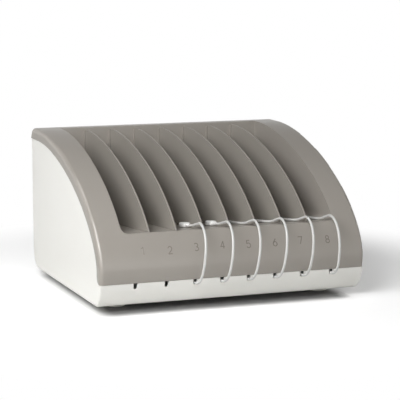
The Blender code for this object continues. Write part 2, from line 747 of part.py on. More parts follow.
# Dividers
def divider_outline():
    """Side outline of a divider: it follows the crest, and two tabs hang below its lower edge."""
    rear = WELL_BACK - FIT_GAP
    skin = [point for point in inset(crest_line(DIVIDER_DROP), DIVIDER_SET_BACK)
            if point.y > LIP_HEIGHT + DIVIDER_TOE + FIT_GAP and point.x < rear]
    front = crest_depth(LIP_HEIGHT + DIVIDER_TOE) + DIVIDER_SET_BACK
    outline = [Vector((front, well_floor(front) + FIT_GAP))] + skin
    outline += [Vector((rear, skin[-1].y))]
    outline += [Vector((rear, well_floor(rear) + FIT_GAP))]
    for start in reversed(tab_starts()):
        end = start + TAB_LENGTH
        outline += [Vector((end, well_floor(end) + FIT_GAP)), Vector((end, well_floor(end) - TAB_DEPTH)),
                    Vector((start, well_floor(start) - TAB_DEPTH)), Vector((start, well_floor(start) + FIT_GAP))]
    return outline


def make_dividers(parent):
    """Seven thin plates that stand between the slots, all of one shape."""
    pattern = outline_solid("divider_1", divider_outline(), DIVIDER_THICKNESS, STATION)
    finish(pattern, TAUPE_DIVIDER, parent)
    for number, place in enumerate(divider_places(), 1):
        plate = pattern if number == 1 else mesh_object("divider_%d" % number, pattern.data, STATION)
        plate.parent = parent
        plate.location.x = place


# Base tub
def bottom_weight(radius, wall):
    """Function that marks the base's side edges, rounder at the bottom than above the split."""
    def weight(first, second):
        middle = (first + second) / 2
        if abs(first.x - second.x) > FIT_GAP:
            return 0.0
        below = middle.z < SPLIT_HEIGHT - SEAM - FIT_GAP / 10
        behind = min(first.y, second.y) > BASE_BACK - REAR_DRAFT - wall - FIT_GAP / 10
        if not below and not behind:
            return 0.0
        rise = (middle.z - FOOT_HEIGHT) / (SPLIT_HEIGHT - FOOT_HEIGHT)
        wanted = BOTTOM_EDGE_RADIUS + (EDGE_RADIUS - BOTTOM_EDGE_RADIUS) * min(max(rise, 0.0), 1.0)
        return (wanted - wall) / radius
    return weight


def tub_line(wall, height):
    """Rear wall, heel, underside and toe of the base from top back to top front, moved in by a wall."""
    top = Vector((BASE_BACK, SKIRT_FOOT))
    heel = rounded(top, Vector((rear_wall(FOOT_HEIGHT), FOOT_HEIGHT)), Vector((FRONT, FOOT_HEIGHT)),
                   HEEL_RADIUS)
    first = toe_turn(height)
    toe = [toe_point(math.pi / 2 + (first - math.pi / 2) * step / (2 * TOE_STEPS))
           for step in range(2 * TOE_STEPS + 1)]
    return inset([top] + heel + toe, wall)


def tub_block():
    """Solid below the seam, with rounded edges along its sides."""
    around = tub_line(0.0, SPLIT_HEIGHT - SEAM)
    around[0] = Vector((rear_wall(SKIRT_FOOT - SEAM), SKIRT_FOOT - SEAM))
    block = outline_solid("base_tub", seam_line(SEAM) + around, WIDTH, STATION)
    weigh_edges(block, bottom_weight(BOTTOM_EDGE_RADIUS, 0.0))
    bevel(block, BOTTOM_EDGE_RADIUS, EDGE_STEPS, by_weight=True)
    return block


def tub_hollow():
    """Room inside the base, open at the top."""
    around = tub_line(BASE_WALL, SPLIT_HEIGHT)
    top = HEIGHT + CUT_OVERRUN
    around[0] = Vector((rear_wall(top) - BASE_WALL, top))
    outline = around + [Vector((around[-1].x, top))]
    hollow = outline_solid("cut_tub_hollow", outline, WIDTH - 2 * BASE_WALL, CUTTERS)
    radius = BOTTOM_EDGE_RADIUS - BASE_WALL
    weigh_edges(hollow, bottom_weight(radius, BASE_WALL))
    bevel(hollow, radius, EDGE_STEPS, by_weight=True)
    return hollow


def rear_upstand():
    """Strip on top of the rear wall that the cover's skirt hangs over."""
    half = WIDTH / 2 - COVER_WALL - FIT_GAP - EDGE_RADIUS
    box = ((-half, BASE_BACK - BASE_WALL, SKIRT_FOOT - CUT_OVERRUN),
           (half, BASE_BACK - UPSTAND_INSET, SKIRT_FOOT + REAR_UPSTAND))
    return mesh_object("join_rear_upstand", box_mesh("join_rear_upstand", [box]), CUTTERS)


def notch_cutters():
    """Eight U-shaped notches in the front wall, open at the split."""
    top = SPLIT_HEIGHT + CUT_OVERRUN
    cutters = []
    for number, place in enumerate(NOTCH_PLACES, 1):
        turns = [math.pi + math.pi * step / NOTCH_STEPS for step in range(NOTCH_STEPS + 1)]
        outline = [Vector((place + NOTCH_RADIUS * math.cos(turn), NOTCH_MIDDLE + NOTCH_RADIUS * math.sin(turn)))
                   for turn in turns]
        outline += [Vector((place + NOTCH_RADIUS, top)), Vector((place - NOTCH_RADIUS, top))]
        cutters.append(outline_solid("cut_notch_%d" % number, outline, 2 * BASE_WALL + 2 * CUT_OVERRUN,
                                     CUTTERS, view=FRONT_VIEW, middle=FRONT + BASE_WALL))
    return cutters


def base_vents():
    """Slots through the floor under the charger case."""
    boxes = []
    for number in range(VENT_COUNT):
        place = (number - (VENT_COUNT - 1) / 2) * VENT_PITCH
        boxes.append(((place - VENT_WIDTH / 2, CASE_MIDDLE - VENT_LENGTH / 2, FOOT_HEIGHT - CUT_OVERRUN),
                      (place + VENT_WIDTH / 2, CASE_MIDDLE + VENT_LENGTH / 2, FLOOR_TOP + CUT_OVERRUN)))
    return mesh_object("cut_base_vents", box_mesh("cut_base_vents", boxes), CUTTERS)


def foot_places():
    """Places of the four feet, seen from above, with their names."""
    across = WIDTH / 2 - FOOT_SIDE_INSET
    return {"foot_front_left": (-across, FRONT + FOOT_FRONT_INSET),
            "foot_front_right": (across, FRONT + FOOT_FRONT_INSET),
            "foot_rear_left": (-across, BASE_BACK - FOOT_REAR_INSET),
            "foot_rear_right": (across, BASE_BACK - FOOT_REAR_INSET)}


def foot_seats():
    """Round pockets under the floor for the feet, with a hole for each spigot."""
    rods = []
    for across, along in foot_places().values():
        rods.append(((across, along, FOOT_HEIGHT - CUT_OVERRUN), (across, along, FOOT_HEIGHT + FOOT_POCKET),
                     FOOT_DIAMETER + 2 * FIT_GAP, FOOT_DIAMETER + 2 * FIT_GAP))
    pockets = mesh_object("cut_foot_pockets", rod_mesh("cut_foot_pockets", rods), CUTTERS)
    rods = []
    for across, along in foot_places().values():
        rods.append(((across, along, FOOT_HEIGHT - CUT_OVERRUN), (across, along, FLOOR_TOP + CUT_OVERRUN),
                     SPIGOT_DIAMETER + 2 * FIT_GAP, SPIGOT_DIAMETER + 2 * FIT_GAP))
    holes = mesh_object("cut_spigot_holes", rod_mesh("cut_spigot_holes", rods, SMALL_TURN_STEPS), CUTTERS)
    return pockets, holes


def charger_posts():
    """Four posts on the floor that carry the charger case, the rear two with a pin on top."""
    rods = [((across, along, FLOOR_TOP - BASE_WALL / 2), (across, along, FLOOR_TOP + POST_HEIGHT),
             POST_DIAMETER, POST_DIAMETER) for across, along in screw_places() + pin_places()]
    posts = mesh_object("join_charger_posts", rod_mesh("join_charger_posts", rods), CUTTERS)
    rods = [((across, along, FLOOR_TOP), (across, along, FLOOR_TOP + POST_HEIGHT + CASE_PIN_HEIGHT),
             SCREW_DIAMETER, SCREW_DIAMETER) for across, along in pin_places()]
    pins = mesh_object("join_case_pins", rod_mesh("join_case_pins", rods, SMALL_TURN_STEPS), CUTTERS)
    return posts, pins


def screw_holes():
    """Holes through the front posts, and wider ones below them for the screws' heads."""
    bore = SCREW_DIAMETER + 2 * SCREW_CLEARANCE
    head = SCREW_HEAD_DIAMETER + 2 * SCREW_CLEARANCE
    low = FOOT_HEIGHT - CUT_OVERRUN
    bores = [((across, along, low), (across, along, CASE_BOTTOM + CUT_OVERRUN), bore, bore)
             for across, along in screw_places()]
    seats = [((across, along, low), (across, along, FOOT_HEIGHT + SCREW_HEAD_HEIGHT + 2 * FIT_GAP), head, head)
             for across, along in screw_places()]
    return (mesh_object("cut_screw_bores", rod_mesh("cut_screw_bores", bores, SMALL_TURN_STEPS), CUTTERS),
            mesh_object("cut_screw_seats", rod_mesh("cut_screw_seats", seats), CUTTERS))


def inlet_opening(name, clearance):
    """Block as large as the mains inlet and a clearance, which cuts the walls that it passes."""
    box = ((INLET_PLACE - INLET_WIDTH / 2 - clearance, CASE_BACK - CASE_WALL - CUT_OVERRUN,
            INLET_MIDDLE - INLET_HEIGHT / 2 - clearance),
           (INLET_PLACE + INLET_WIDTH / 2 + clearance, BASE_BACK + CUT_OVERRUN,
            INLET_MIDDLE + INLET_HEIGHT / 2 + clearance))
    return mesh_object(name, box_mesh(name, [box]), CUTTERS)


def make_base():
    """The base tub: one moulding with a low notched front wall, tall side walls and a rear wall."""
    tub = tub_block()
    cut(tub, tub_hollow())
    join(tub, rear_upstand())
    for post in charger_posts():
        join(tub, post)
    for notch in notch_cutters():
        cut(tub, notch)
    pockets, holes = foot_seats()
    bores, seats = screw_holes()
    for cutter in (base_vents(), pockets, holes, bores, seats, inlet_opening("cut_inlet_hole", INLET_CLEARANCE)):
        cut(tub, cutter)
    return finish(tub, WHITE_SHELL)


# Feet
def turned(name, profile, steps=TURN_STEPS):
    """Round piece from a profile of radii and heights that runs from the top down its outer side."""
    mesh = bpy.data.meshes.new(name)
    mesh.from_pydata([(radius, 0, height) for radius, height in profile],
                     [(place, place + 1) for place in range(len(profile) - 1)], [])
    piece = mesh_object(name, mesh, STATION)
    screw = piece.modifiers.new("turned", "SCREW")
    screw.steps = steps
    screw.render_steps = steps
    screw.use_merge_vertices = True
    screw.merge_threshold = FIT_GAP / 30
    return piece


def make_feet():
    """Four round rubber feet, each held in a pocket by a spigot through the floor."""
    radius = FOOT_DIAMETER / 2
    seat = FOOT_HEIGHT + FOOT_POCKET - FIT_GAP
    top = FLOOR_TOP + SPIGOT_STAND
    turns = [math.pi / 2 * step / EDGE_STEPS for step in range(EDGE_STEPS + 1)]
    edge = [(radius - FOOT_ROUND * (1 - math.cos(turn)), FOOT_ROUND * (1 - math.sin(turn))) for turn in turns]
    profile = [(0, top), (SPIGOT_DIAMETER / 2 - SPIGOT_CHAMFER, top),
               (SPIGOT_DIAMETER / 2, top - SPIGOT_CHAMFER), (SPIGOT_DIAMETER / 2, seat),
               (radius - FOOT_TAPER, seat)] + edge + [(0, 0)]
    pattern = turned("foot_front_left", profile)
    settle(pattern, "foot_front_left", CLEAR_RUBBER)
    for name, (across, along) in foot_places().items():
        foot = pattern if name == pattern.name else mesh_object(name, pattern.data, STATION)
        foot.location = (across, along, 0)


# Charger
def upright_edges(first, second):
    """Weight 1 on upright edges only."""
    return 1.0 if abs(first.z - second.z) > FIT_GAP and abs(first.x - second.x) < FIT_GAP and \
        abs(first.y - second.y) < FIT_GAP else 0.0


def case_shell(name, low, high, collection, grow=0.0, radius=CASE_CORNER):
    """Box with rounded upright edges, as large as the case and a growth."""
    half = CASE_WIDTH / 2 + grow
    box = ((-half, CASE_FRONT - grow, low), (half, CASE_BACK + grow, high))
    shell = mesh_object(name, box_mesh(name, [box]), collection)
    weigh_edges(shell, upright_edges)
    bevel(shell, radius, EDGE_STEPS, by_weight=True)
    return shell


def port_windows():
    """Windows in the case's front wall, one for each USB port."""
    half_width = PORT_WIDTH / 2 + PORT_WINDOW_CLEARANCE
    half_height = PORT_HEIGHT / 2 + PORT_WINDOW_CLEARANCE
    boxes = [((port_place(number) - half_width, CASE_FRONT - CUT_OVERRUN, PORT_MIDDLE - half_height),
              (port_place(number) + half_width, CASE_FRONT + CASE_WALL + CUT_OVERRUN, PORT_MIDDLE + half_height))
             for number in range(1, SLOT_COUNT + 1)]
    return mesh_object("cut_port_windows", box_mesh("cut_port_windows", boxes), CUTTERS)


def make_case_lower():
    """Lower half of the charger case: a tray with stand-offs for the board."""
    tray = case_shell("charger_case_lower", CASE_BOTTOM, CASE_SPLIT, STATION)
    cut(tray, case_shell("cut_case_lower_hollow", CASE_BOTTOM + CASE_WALL, CASE_SPLIT + CUT_OVERRUN,
                         CUTTERS, -CASE_WALL, CASE_CORNER - CASE_WALL))
    top = CASE_BOTTOM + CASE_WALL + STANDOFF_HEIGHT
    places = screw_places() + pin_places()
    rods = [((across, along, CASE_BOTTOM + CASE_WALL / 2), (across, along, top),
             STANDOFF_DIAMETER, STANDOFF_DIAMETER) for across, along in places]
    join(tray, mesh_object("join_standoffs", rod_mesh("join_standoffs", rods, SMALL_TURN_STEPS), CUTTERS))
    bore = SCREW_DIAMETER + 2 * SCREW_CLEARANCE
    rods = [((across, along, CASE_BOTTOM - CUT_OVERRUN), (across, along, top - STANDOFF_ROOF), bore, bore)
            for across, along in places]
    cut(tray, mesh_object("cut_standoff_bores", rod_mesh("cut_standoff_bores", rods, SMALL_TURN_STEPS), CUTTERS))
    cut(tray, port_windows())
    cut(tray, inlet_opening("cut_case_lower_inlet", FIT_GAP))
    return finish(tray, BLACK_CASE)


def make_case_upper():
    """Upper half of the charger case: a vented cap with a tongue inside the tray."""
    low = CASE_SPLIT + FIT_GAP
    cap = case_shell("charger_case_upper", low, CASE_TOP, STATION)
    reach = -(CASE_WALL + FIT_GAP)
    tongue = case_shell("join_case_tongue", CASE_SPLIT - CASE_TONGUE_DROP, CASE_TOP - CASE_WALL / 2,
                        CUTTERS, reach, CASE_CORNER - CASE_WALL)
    join(cap, tongue)
    cut(cap, case_shell("cut_case_upper_hollow", CASE_SPLIT - CASE_TONGUE_DROP - CUT_OVERRUN,
                        CASE_TOP - CASE_WALL, CUTTERS, reach - CASE_TONGUE_THICKNESS,
                        CASE_CORNER - CASE_WALL))
    boxes = []
    for number in range(CASE_VENT_COUNT):
        place = (number - (CASE_VENT_COUNT - 1) / 2) * CASE_VENT_PITCH
        boxes.append(((place - CASE_VENT_WIDTH / 2, CASE_MIDDLE - CASE_VENT_LENGTH / 2, CASE_TOP - CUT_OVERRUN),
                      (place + CASE_VENT_WIDTH / 2, CASE_MIDDLE + CASE_VENT_LENGTH / 2, CASE_TOP + CUT_OVERRUN)))
    cut(cap, mesh_object("cut_case_vents", box_mesh("cut_case_vents", boxes), CUTTERS))
    cut(cap, inlet_opening("cut_case_upper_inlet", FIT_GAP))
    return finish(cap, BLACK_CASE)


def make_board():
    """Circuit board on the stand-offs."""
    half = CASE_WIDTH / 2 - CASE_WALL - BOARD_SIDE_SPACE
    box = ((-half, CASE_FRONT + CASE_WALL + BOARD_FRONT_SPACE, BOARD_BOTTOM),
           (half, CASE_BACK - CASE_WALL - BOARD_REAR_SPACE, BOARD_TOP))
    return finish(mesh_object("charger_board", box_mesh("charger_board", [box]), STATION), BOARD_GREEN)


def make_ports():
    """Eight USB ports: steel shells with a tongue inside, standing on the board's front edge."""
    half = Vector((PORT_WIDTH / 2, 0, PORT_HEIGHT / 2))
    wall = Vector((PORT_WALL, 0, PORT_WALL))
    pattern = mesh_object("usb_port_1", box_mesh("usb_port_1", [(-half, half + Vector((0, PORT_DEPTH, 0)))]),
                          STATION)
    pocket = [(wall - half - Vector((0, CUT_OVERRUN, 0)), half - wall + Vector((0, PORT_POCKET, 0)))]
    cut(pattern, mesh_object("cut_port_pocket", box_mesh("cut_port_pocket", pocket), CUTTERS))
    tongue = [((-PORT_TONGUE_WIDTH / 2, PORT_POCKET - PORT_TONGUE_LENGTH, PORT_TONGUE_RISE),
               (PORT_TONGUE_WIDTH / 2, (PORT_POCKET + PORT_DEPTH) / 2, PORT_TONGUE_RISE + PORT_TONGUE_THICKNESS))]
    join(pattern, mesh_object("join_port_tongue", box_mesh("join_port_tongue", tongue), CUTTERS))
    settle(pattern, "usb_port_1", PORT_STEEL)
    for number in range(1, SLOT_COUNT + 1):
        port = pattern if number == 1 else mesh_object("usb_port_%d" % number, pattern.data, STATION)
        port.location = (port_place(number), PORT_FACE, PORT_MIDDLE)


def make_inlet():
    """Two-pin mains inlet at the back, with its socket facing out through the base's rear wall."""
    face = rear_wall(INLET_MIDDLE) - INLET_SINK
    seat = CASE_BACK - CASE_WALL - BOARD_REAR_SPACE - INLET_BOARD_SEAT
    low = INLET_MIDDLE - INLET_HEIGHT / 2
    box = ((INLET_PLACE - INLET_WIDTH / 2, seat, low), (INLET_PLACE + INLET_WIDTH / 2, face, low + INLET_HEIGHT))
    inlet = mesh_object("mains_inlet", box_mesh("mains_inlet", [box]), STATION)
    radius = SOCKET_HEIGHT / 2
    reach = SOCKET_WIDTH / 2 - radius
    steps = 2 * CORNER_STEPS
    outline = []
    for side, start in ((1, -math.pi / 2), (-1, math.pi / 2)):
        outline += [Vector((INLET_PLACE + side * reach + radius * math.cos(start + math.pi * step / steps),
                            INLET_MIDDLE + radius * math.sin(start + math.pi * step / steps)))
                    for step in range(steps + 1)]
    cut(inlet, outline_solid("cut_socket", outline, 2 * SOCKET_DEPTH, CUTTERS, view=FRONT_VIEW, middle=face))
    finish(inlet, BLACK_CASE)
    root = face - SOCKET_DEPTH
    for side, name in ((-1, "inlet_pin_left"), (1, "inlet_pin_right")):
        across = INLET_PLACE + side * PIN_SPACING / 2
        rod = ((across, root + FIT_GAP, INLET_MIDDLE), (across, root + FIT_GAP + PIN_LENGTH, INLET_MIDDLE),
               PIN_DIAMETER, PIN_DIAMETER)
        finish(mesh_object(name, rod_mesh(name, [rod], SMALL_TURN_STEPS), STATION), PIN_BRASS)


def make_screws():
    """Two cross-head screws that go up through the base's front posts into the charger case."""
    length = CASE_BOTTOM + CASE_WALL + STANDOFF_HEIGHT - STANDOFF_ROOF - 2 * FIT_GAP - FOOT_HEIGHT
    head = ((0, 0, 0), (0, 0, SCREW_HEAD_HEIGHT), SCREW_HEAD_DIAMETER, SCREW_HEAD_DIAMETER)
    pattern = mesh_object("charger_screw_left", rod_mesh("charger_screw", [head], SMALL_TURN_STEPS), STATION)
    shank = ((0, 0, SCREW_HEAD_HEIGHT / 2), (0, 0, length), SCREW_DIAMETER, SCREW_DIAMETER)
    join(pattern, mesh_object("join_screw_shank", rod_mesh("join_screw_shank", [shank], SMALL_TURN_STEPS), CUTTERS))
    for name, width, depth in (("cut_cross_across", CROSS_LENGTH, CROSS_WIDTH),
                               ("cut_cross_along", CROSS_WIDTH, CROSS_LENGTH)):
        box = ((-width / 2, -depth / 2, -CUT_OVERRUN), (width / 2, depth / 2, CROSS_DEPTH))
        cut(pattern, mesh_object(name, box_mesh(name, [box]), CUTTERS))
    settle(pattern, "charger_screw", SCREW_STEEL)
    right = mesh_object("charger_screw_right", pattern.data, STATION)
    for screw, (across, along) in zip((pattern, right), screw_places()):
        screw.location = (across, along, FOOT_HEIGHT + FIT_GAP)


# Cables
def smooth_line(route, spacing):
    """Points of a smooth curve through a route, a point every so many diameters."""
    padded = [2 * route[0] - route[1]] + route + [2 * route[-1] - route[-2]]
    fine = []
    for place in range(1, len(padded) - 2):
        before, start, end, after = padded[place - 1:place + 3]
        for step in range(CURVE_STEPS):
            share = step / CURVE_STEPS
            fine.append(0.5 * (2 * start + (end - before) * share
                               + (2 * before - 5 * start + 4 * end - after) * share ** 2
                               + (3 * start - before - 3 * end + after) * share ** 3))
    fine.append(route[-1])
    total = sum((after - before).length for before, after in zip(fine, fine[1:]))
    count = round(total / (spacing * CORD_DIAMETER))
    points = [fine[0]]
    walked = 0.0
    for before, after in zip(fine, fine[1:]):
        stretch = (after - before).length
        while len(points) < count and walked + stretch >= total * len(points) / count:
            share = (total * len(points) / count - walked) / stretch
            points.append(before.lerp(after, share))
        walked += stretch
    points.append(fine[-1])
    return points, total


def cord(name, route, spacing, parent=None):
    """Round cord along a route, with flat closed ends."""
    points, length = smooth_line(route, spacing)
    curve = bpy.data.curves.new(name, "CURVE")
    curve.dimensions = "3D"
    curve.bevel_depth = CORD_DIAMETER / 2
    curve.bevel_resolution = 2
    curve.use_fill_caps = True
    spline = curve.splines.new("POLY")
    spline.points.add(len(points) - 1)
    for point, place in zip(spline.points, points):
        point.co = (*place, 1)
    thing = bpy.data.objects.new(name, curve)
    STATION.objects.link(thing)
    curve.materials.append(CABLE_WHITE)
    thing.parent = parent
    print("%s is %.4f m long, of %d points" % (name, length, len(points)))
    return thing


def relief_rod(start, length):
    """Tapered strain relief that runs towards -Y from a plug's rear face."""
    return [((0, start + UNION_SINK, 0), (0, start - length, 0), RELIEF_ROOT_DIAMETER, RELIEF_END_DIAMETER)]


def make_plugs(numbers):
    """USB plugs in the ports: a moulded grip, a steel shell around a tongue slot, and a strain relief."""
    grip_half = Vector((PLUG_WIDTH / 2, PLUG_LENGTH / 2, PLUG_HEIGHT / 2))
    pattern = mesh_object("usb_plug_%d" % numbers[0], box_mesh("usb_plug", [(-grip_half, grip_half)]), STATION)
    bevel(pattern, PLUG_ROUND, 1)
    shell = [((-PLUG_SHELL_WIDTH / 2, PLUG_LENGTH / 2 - UNION_SINK, -PLUG_SHELL_HEIGHT / 2),
              (PLUG_SHELL_WIDTH / 2, PLUG_LENGTH / 2 + PLUG_SHELL_LENGTH, PLUG_SHELL_HEIGHT / 2))]
    join(pattern, mesh_object("join_plug_shell", box_mesh("join_plug_shell", shell), CUTTERS))
    end = PLUG_LENGTH / 2 + PLUG_SHELL_LENGTH
    high = PLUG_SHELL_HEIGHT / 2 - PLUG_SHELL_WALL
    slot = [((-PLUG_SLOT_WIDTH / 2, end - PLUG_SLOT_DEPTH, high - PLUG_SLOT_HEIGHT),
             (PLUG_SLOT_WIDTH / 2, end + CUT_OVERRUN, high))]
    cut(pattern, mesh_object("cut_plug_slot", box_mesh("cut_plug_slot", slot), CUTTERS))
    relief = rod_mesh("join_plug_relief", relief_rod(-PLUG_LENGTH / 2, RELIEF_LENGTH), RELIEF_STEPS)
    join(pattern, mesh_object("join_plug_relief", relief, CUTTERS))
    settle(pattern, "usb_plug", CABLE_WHITE)
    middle = PORT_FACE - PLUG_STOP_GAP - PLUG_LENGTH / 2
    for number in numbers:
        plug = pattern if number == numbers[0] else mesh_object("usb_plug_%d" % number, pattern.data, STATION)
        plug.location = (port_place(number), middle, PORT_MIDDLE)
    return middle - PLUG_LENGTH / 2 - RELIEF_LENGTH


def make_leads(numbers, plug_end):
    """Leads inside the base, from each plug down to the floor and up to its notch."""
    lying = FLOOR_TOP + FIT_GAP + CORD_DIAMETER / 2
    notch_end = FRONT + RISE_ROUTE[0][0] + FIT_GAP
    for number in numbers:
        start = port_place(number)
        end = NOTCH_PLACES[number - 1]
        route = [Vector((start, plug_end - FIT_GAP, PORT_MIDDLE)),
                 Vector((start, plug_end - FIT_GAP - LEAD_STRAIGHT, PORT_MIDDLE))]
        route += [Vector((start + (end - start) * across, plug_end + (notch_end - plug_end) * along,
                          lying + (PORT_MIDDLE - lying) * rise))
                  for across, along, rise in LEAD_ROUTE_SHARES]
        route += [Vector((end, notch_end, RISE_ROUTE[0][1]))]
        cord("inner_lead_%d" % number, route, LEAD_SPACING_SHARE)


def cable_route(number):
    """Route of one cable from its notch over the lip and along its slot's floor."""
    start = NOTCH_PLACES[number - 1]
    middle = slot_middle(number)
    end = middle + LIP_PLACES[number]
    route = []
    for place, (behind, height) in enumerate(RISE_ROUTE):
        share = place / (len(RISE_ROUTE) - 1)
        route.append(Vector((start + (end - start) * share * share * (3 - 2 * share), FRONT + behind, height)))
    lying = FIT_GAP + CORD_DIAMETER / 2
    return route + [Vector((middle + across, FRONT + behind, well_floor(FRONT + behind) + lying + above))
                    for across, behind, above in LANDING_ROUTES[number]]


def make_connector_patterns():
    """Moulded connector body with its strain relief, and its steel tip, both at the origin."""
    half = Vector((CONNECTOR_WIDTH / 2, CONNECTOR_LENGTH / 2, CONNECTOR_HEIGHT / 2))
    body = mesh_object("connector_pattern", box_mesh("connector_pattern", [(-half, half)]), CUTTERS)
    bevel(body, CONNECTOR_ROUND, 2)
    relief = rod_mesh("join_connector_relief", relief_rod(-CONNECTOR_LENGTH / 2, CONNECTOR_RELIEF_LENGTH),
                      RELIEF_STEPS)
    join(body, mesh_object("join_connector_relief", relief, CUTTERS))
    low = CONNECTOR_LENGTH / 2 + FIT_GAP
    tip = mesh_object("tip_pattern", box_mesh("tip_pattern", [
        ((-TIP_WIDTH / 2, low, -TIP_HEIGHT / 2), (TIP_WIDTH / 2, low + TIP_LENGTH, TIP_HEIGHT / 2))]), CUTTERS)

    def long_edges(first, second):
        return 1.0 if abs(first.y - second.y) > FIT_GAP else 0.0

    weigh_edges(tip, long_edges)
    bevel(tip, TIP_ROUND, 2, by_weight=True)
    room = [((TIP_WALL - TIP_WIDTH / 2, low + 2 * TIP_WALL, TIP_WALL - TIP_HEIGHT / 2),
             (TIP_WIDTH / 2 - TIP_WALL, low + TIP_LENGTH + CUT_OVERRUN, TIP_HEIGHT / 2 - TIP_WALL))]
    cut(tip, mesh_object("cut_tip_room", box_mesh("cut_tip_room", room), CUTTERS))
    return (settle(body, "cable_connector", CABLE_WHITE).data, settle(tip, "connector_tip", PORT_STEEL).data)


def make_cables(numbers, parent):
    """Cables in front of the panel and in the slots, each with a connector on its far end."""
    body_mesh, tip_mesh = make_connector_patterns()
    for number in numbers:
        route = cable_route(number)
        cord("charge_cable_%d" % number, route, CABLE_SPACING_SHARE, parent)
        ahead = (route[-1] - route[-2]).normalized()
        turn = Vector((0, 1, 0)).rotation_difference(ahead)
        reach = FIT_GAP + CONNECTOR_RELIEF_LENGTH + CONNECTOR_LENGTH / 2
        for name, mesh in (("cable_connector_%d" % number, body_mesh), ("connector_tip_%d" % number, tip_mesh)):
            piece = mesh_object(name, mesh, STATION)
            piece.parent = parent
            piece.rotation_mode = "QUATERNION"
            piece.rotation_quaternion = turn
            piece.location = route[-1] + ahead * reach


def main():
    """Make the station: first what stays on the table, then what lifts off."""
    make_base()
    make_feet()
    make_case_lower()
    make_case_upper()
    make_board()
    make_ports()
    make_inlet()
    make_screws()
    numbers = list(range(FIRST_CABLE, SLOT_COUNT + 1))
    plug_end = make_plugs(numbers)
    make_leads(numbers, plug_end)
    cover_lift = bpy.data.objects.new("cover_lift", None)
    STATION.objects.link(cover_lift)
    make_cover(cover_lift)
    make_dividers(cover_lift)
    make_cables(numbers, cover_lift)


main()
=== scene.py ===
# %% [markdown]
# # A USB charging station for a desk
#
# This lesson dresses an imported CAD model. The station is a white tub with a taupe cover over it,
# and the cover has eight slots in which phones and tablets stand on edge. Short white cables come out
# through notches at the front. The CAD model already holds every hard shape at its real size, so the
# work here is the camera, the cables as smooth tubes along their routes, the finishes, the small
# figures over the notches, and light. Every length is in metres, in the same frame as the CAD model.

# %% Load the imported model
import math

import bpy
import bmesh
from mathutils import Matrix, Vector


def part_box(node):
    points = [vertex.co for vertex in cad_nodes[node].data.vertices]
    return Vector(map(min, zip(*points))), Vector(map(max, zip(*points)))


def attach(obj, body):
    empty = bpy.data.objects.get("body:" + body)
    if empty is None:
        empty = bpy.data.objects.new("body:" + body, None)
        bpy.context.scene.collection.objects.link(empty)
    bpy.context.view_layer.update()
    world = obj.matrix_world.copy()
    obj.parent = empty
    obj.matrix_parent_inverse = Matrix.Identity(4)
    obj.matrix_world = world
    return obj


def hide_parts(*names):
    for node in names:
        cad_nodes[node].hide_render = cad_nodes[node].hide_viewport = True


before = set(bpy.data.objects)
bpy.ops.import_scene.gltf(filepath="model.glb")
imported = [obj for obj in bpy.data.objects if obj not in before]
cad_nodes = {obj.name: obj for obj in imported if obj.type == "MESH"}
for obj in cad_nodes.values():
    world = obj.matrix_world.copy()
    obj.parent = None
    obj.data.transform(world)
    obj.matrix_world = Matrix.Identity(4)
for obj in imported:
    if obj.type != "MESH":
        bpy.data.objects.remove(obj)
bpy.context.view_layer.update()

# %% [markdown]
# ## Camera
#
# A product photograph like this one is taken with a long lens from a couple of metres away, so that
# upright edges stay nearly parallel. The place and the direction were worked out from edges that
# are known on the object: the lip of the slots, the eight notches and the feet. The rotation is
# written as three axes, because a small roll is easiest to add that way.

# %% Camera
PHOTO_PLACE = (-0.7775, -2.021, 0.452)
PHOTO_AZIMUTH = math.radians(21.32)
PHOTO_TILT = math.radians(8.97)
PHOTO_ROLL = math.radians(0.25)
LENS_MM = 151.2
SENSOR_MM = 36.0
FAR_CLIP = 30.0

camera_data = bpy.data.cameras.new("photo_camera")
camera_data.sensor_width = SENSOR_MM
camera_data.lens = LENS_MM
camera_data.clip_end = FAR_CLIP
camera = bpy.data.objects.new("photo_camera", camera_data)
bpy.context.scene.collection.objects.link(camera)
bpy.context.scene.camera = camera

ahead = Vector((math.sin(PHOTO_AZIMUTH) * math.cos(PHOTO_TILT),
                math.cos(PHOTO_AZIMUTH) * math.cos(PHOTO_TILT),
                -math.sin(PHOTO_TILT)))
level_right = Vector((math.cos(PHOTO_AZIMUTH), -math.sin(PHOTO_AZIMUTH), 0))
level_up = level_right.cross(ahead)
right = math.cos(PHOTO_ROLL) * level_right + math.sin(PHOTO_ROLL) * level_up
up = right.cross(ahead)
turned = Matrix((right, up, -ahead)).transposed().to_4x4()
camera.matrix_world = Matrix.Translation(PHOTO_PLACE) @ turned
print("camera", round(Vector(PHOTO_PLACE).length, 2), "m from the station, lens", LENS_MM, "mm")

# %% [markdown]
# ## Colours and node helpers
#
# Colours are easiest to read off a screen as sRGB hex codes, but shaders work in linear light, so
# one function turns the one into the other. The others each add a node of a common kind with its
# settings and its inputs, which keeps every material short enough to read in one go. An input may
# be a plain value or another node's output.


# %% Colour and node helpers
def linear(code):
    """Linear colour with alpha from an sRGB hex code such as #A0988E."""
    parts = [int(code[place:place + 2], 16) / 255 for place in (1, 3, 5)]
    return [part / 12.92 if part <= 0.04045 else ((part + 0.055) / 1.055) ** 2.4
            for part in parts] + [1.0]


def add_node(tree, kind, inputs=None, **settings):
    """Add one node: settings are its own options, inputs are values or other nodes' outputs."""
    made = tree.nodes.new(kind)
    for name, value in settings.items():
        setattr(made, name, value)
    for socket, value in (inputs or {}).items():
        if isinstance(value, bpy.types.NodeSocket):
            tree.links.new(value, made.inputs[socket])
        else:
            made.inputs[socket].default_value = value
    return made


def new_material(name):
    """Empty node material, its tree, and the place on the object as an output to build on."""
    material = bpy.data.materials.new(name)
    material.use_nodes = True
    tree = material.node_tree
    tree.nodes.clear()
    return material, tree, add_node(tree, "ShaderNodeTexCoord").outputs["Object"]


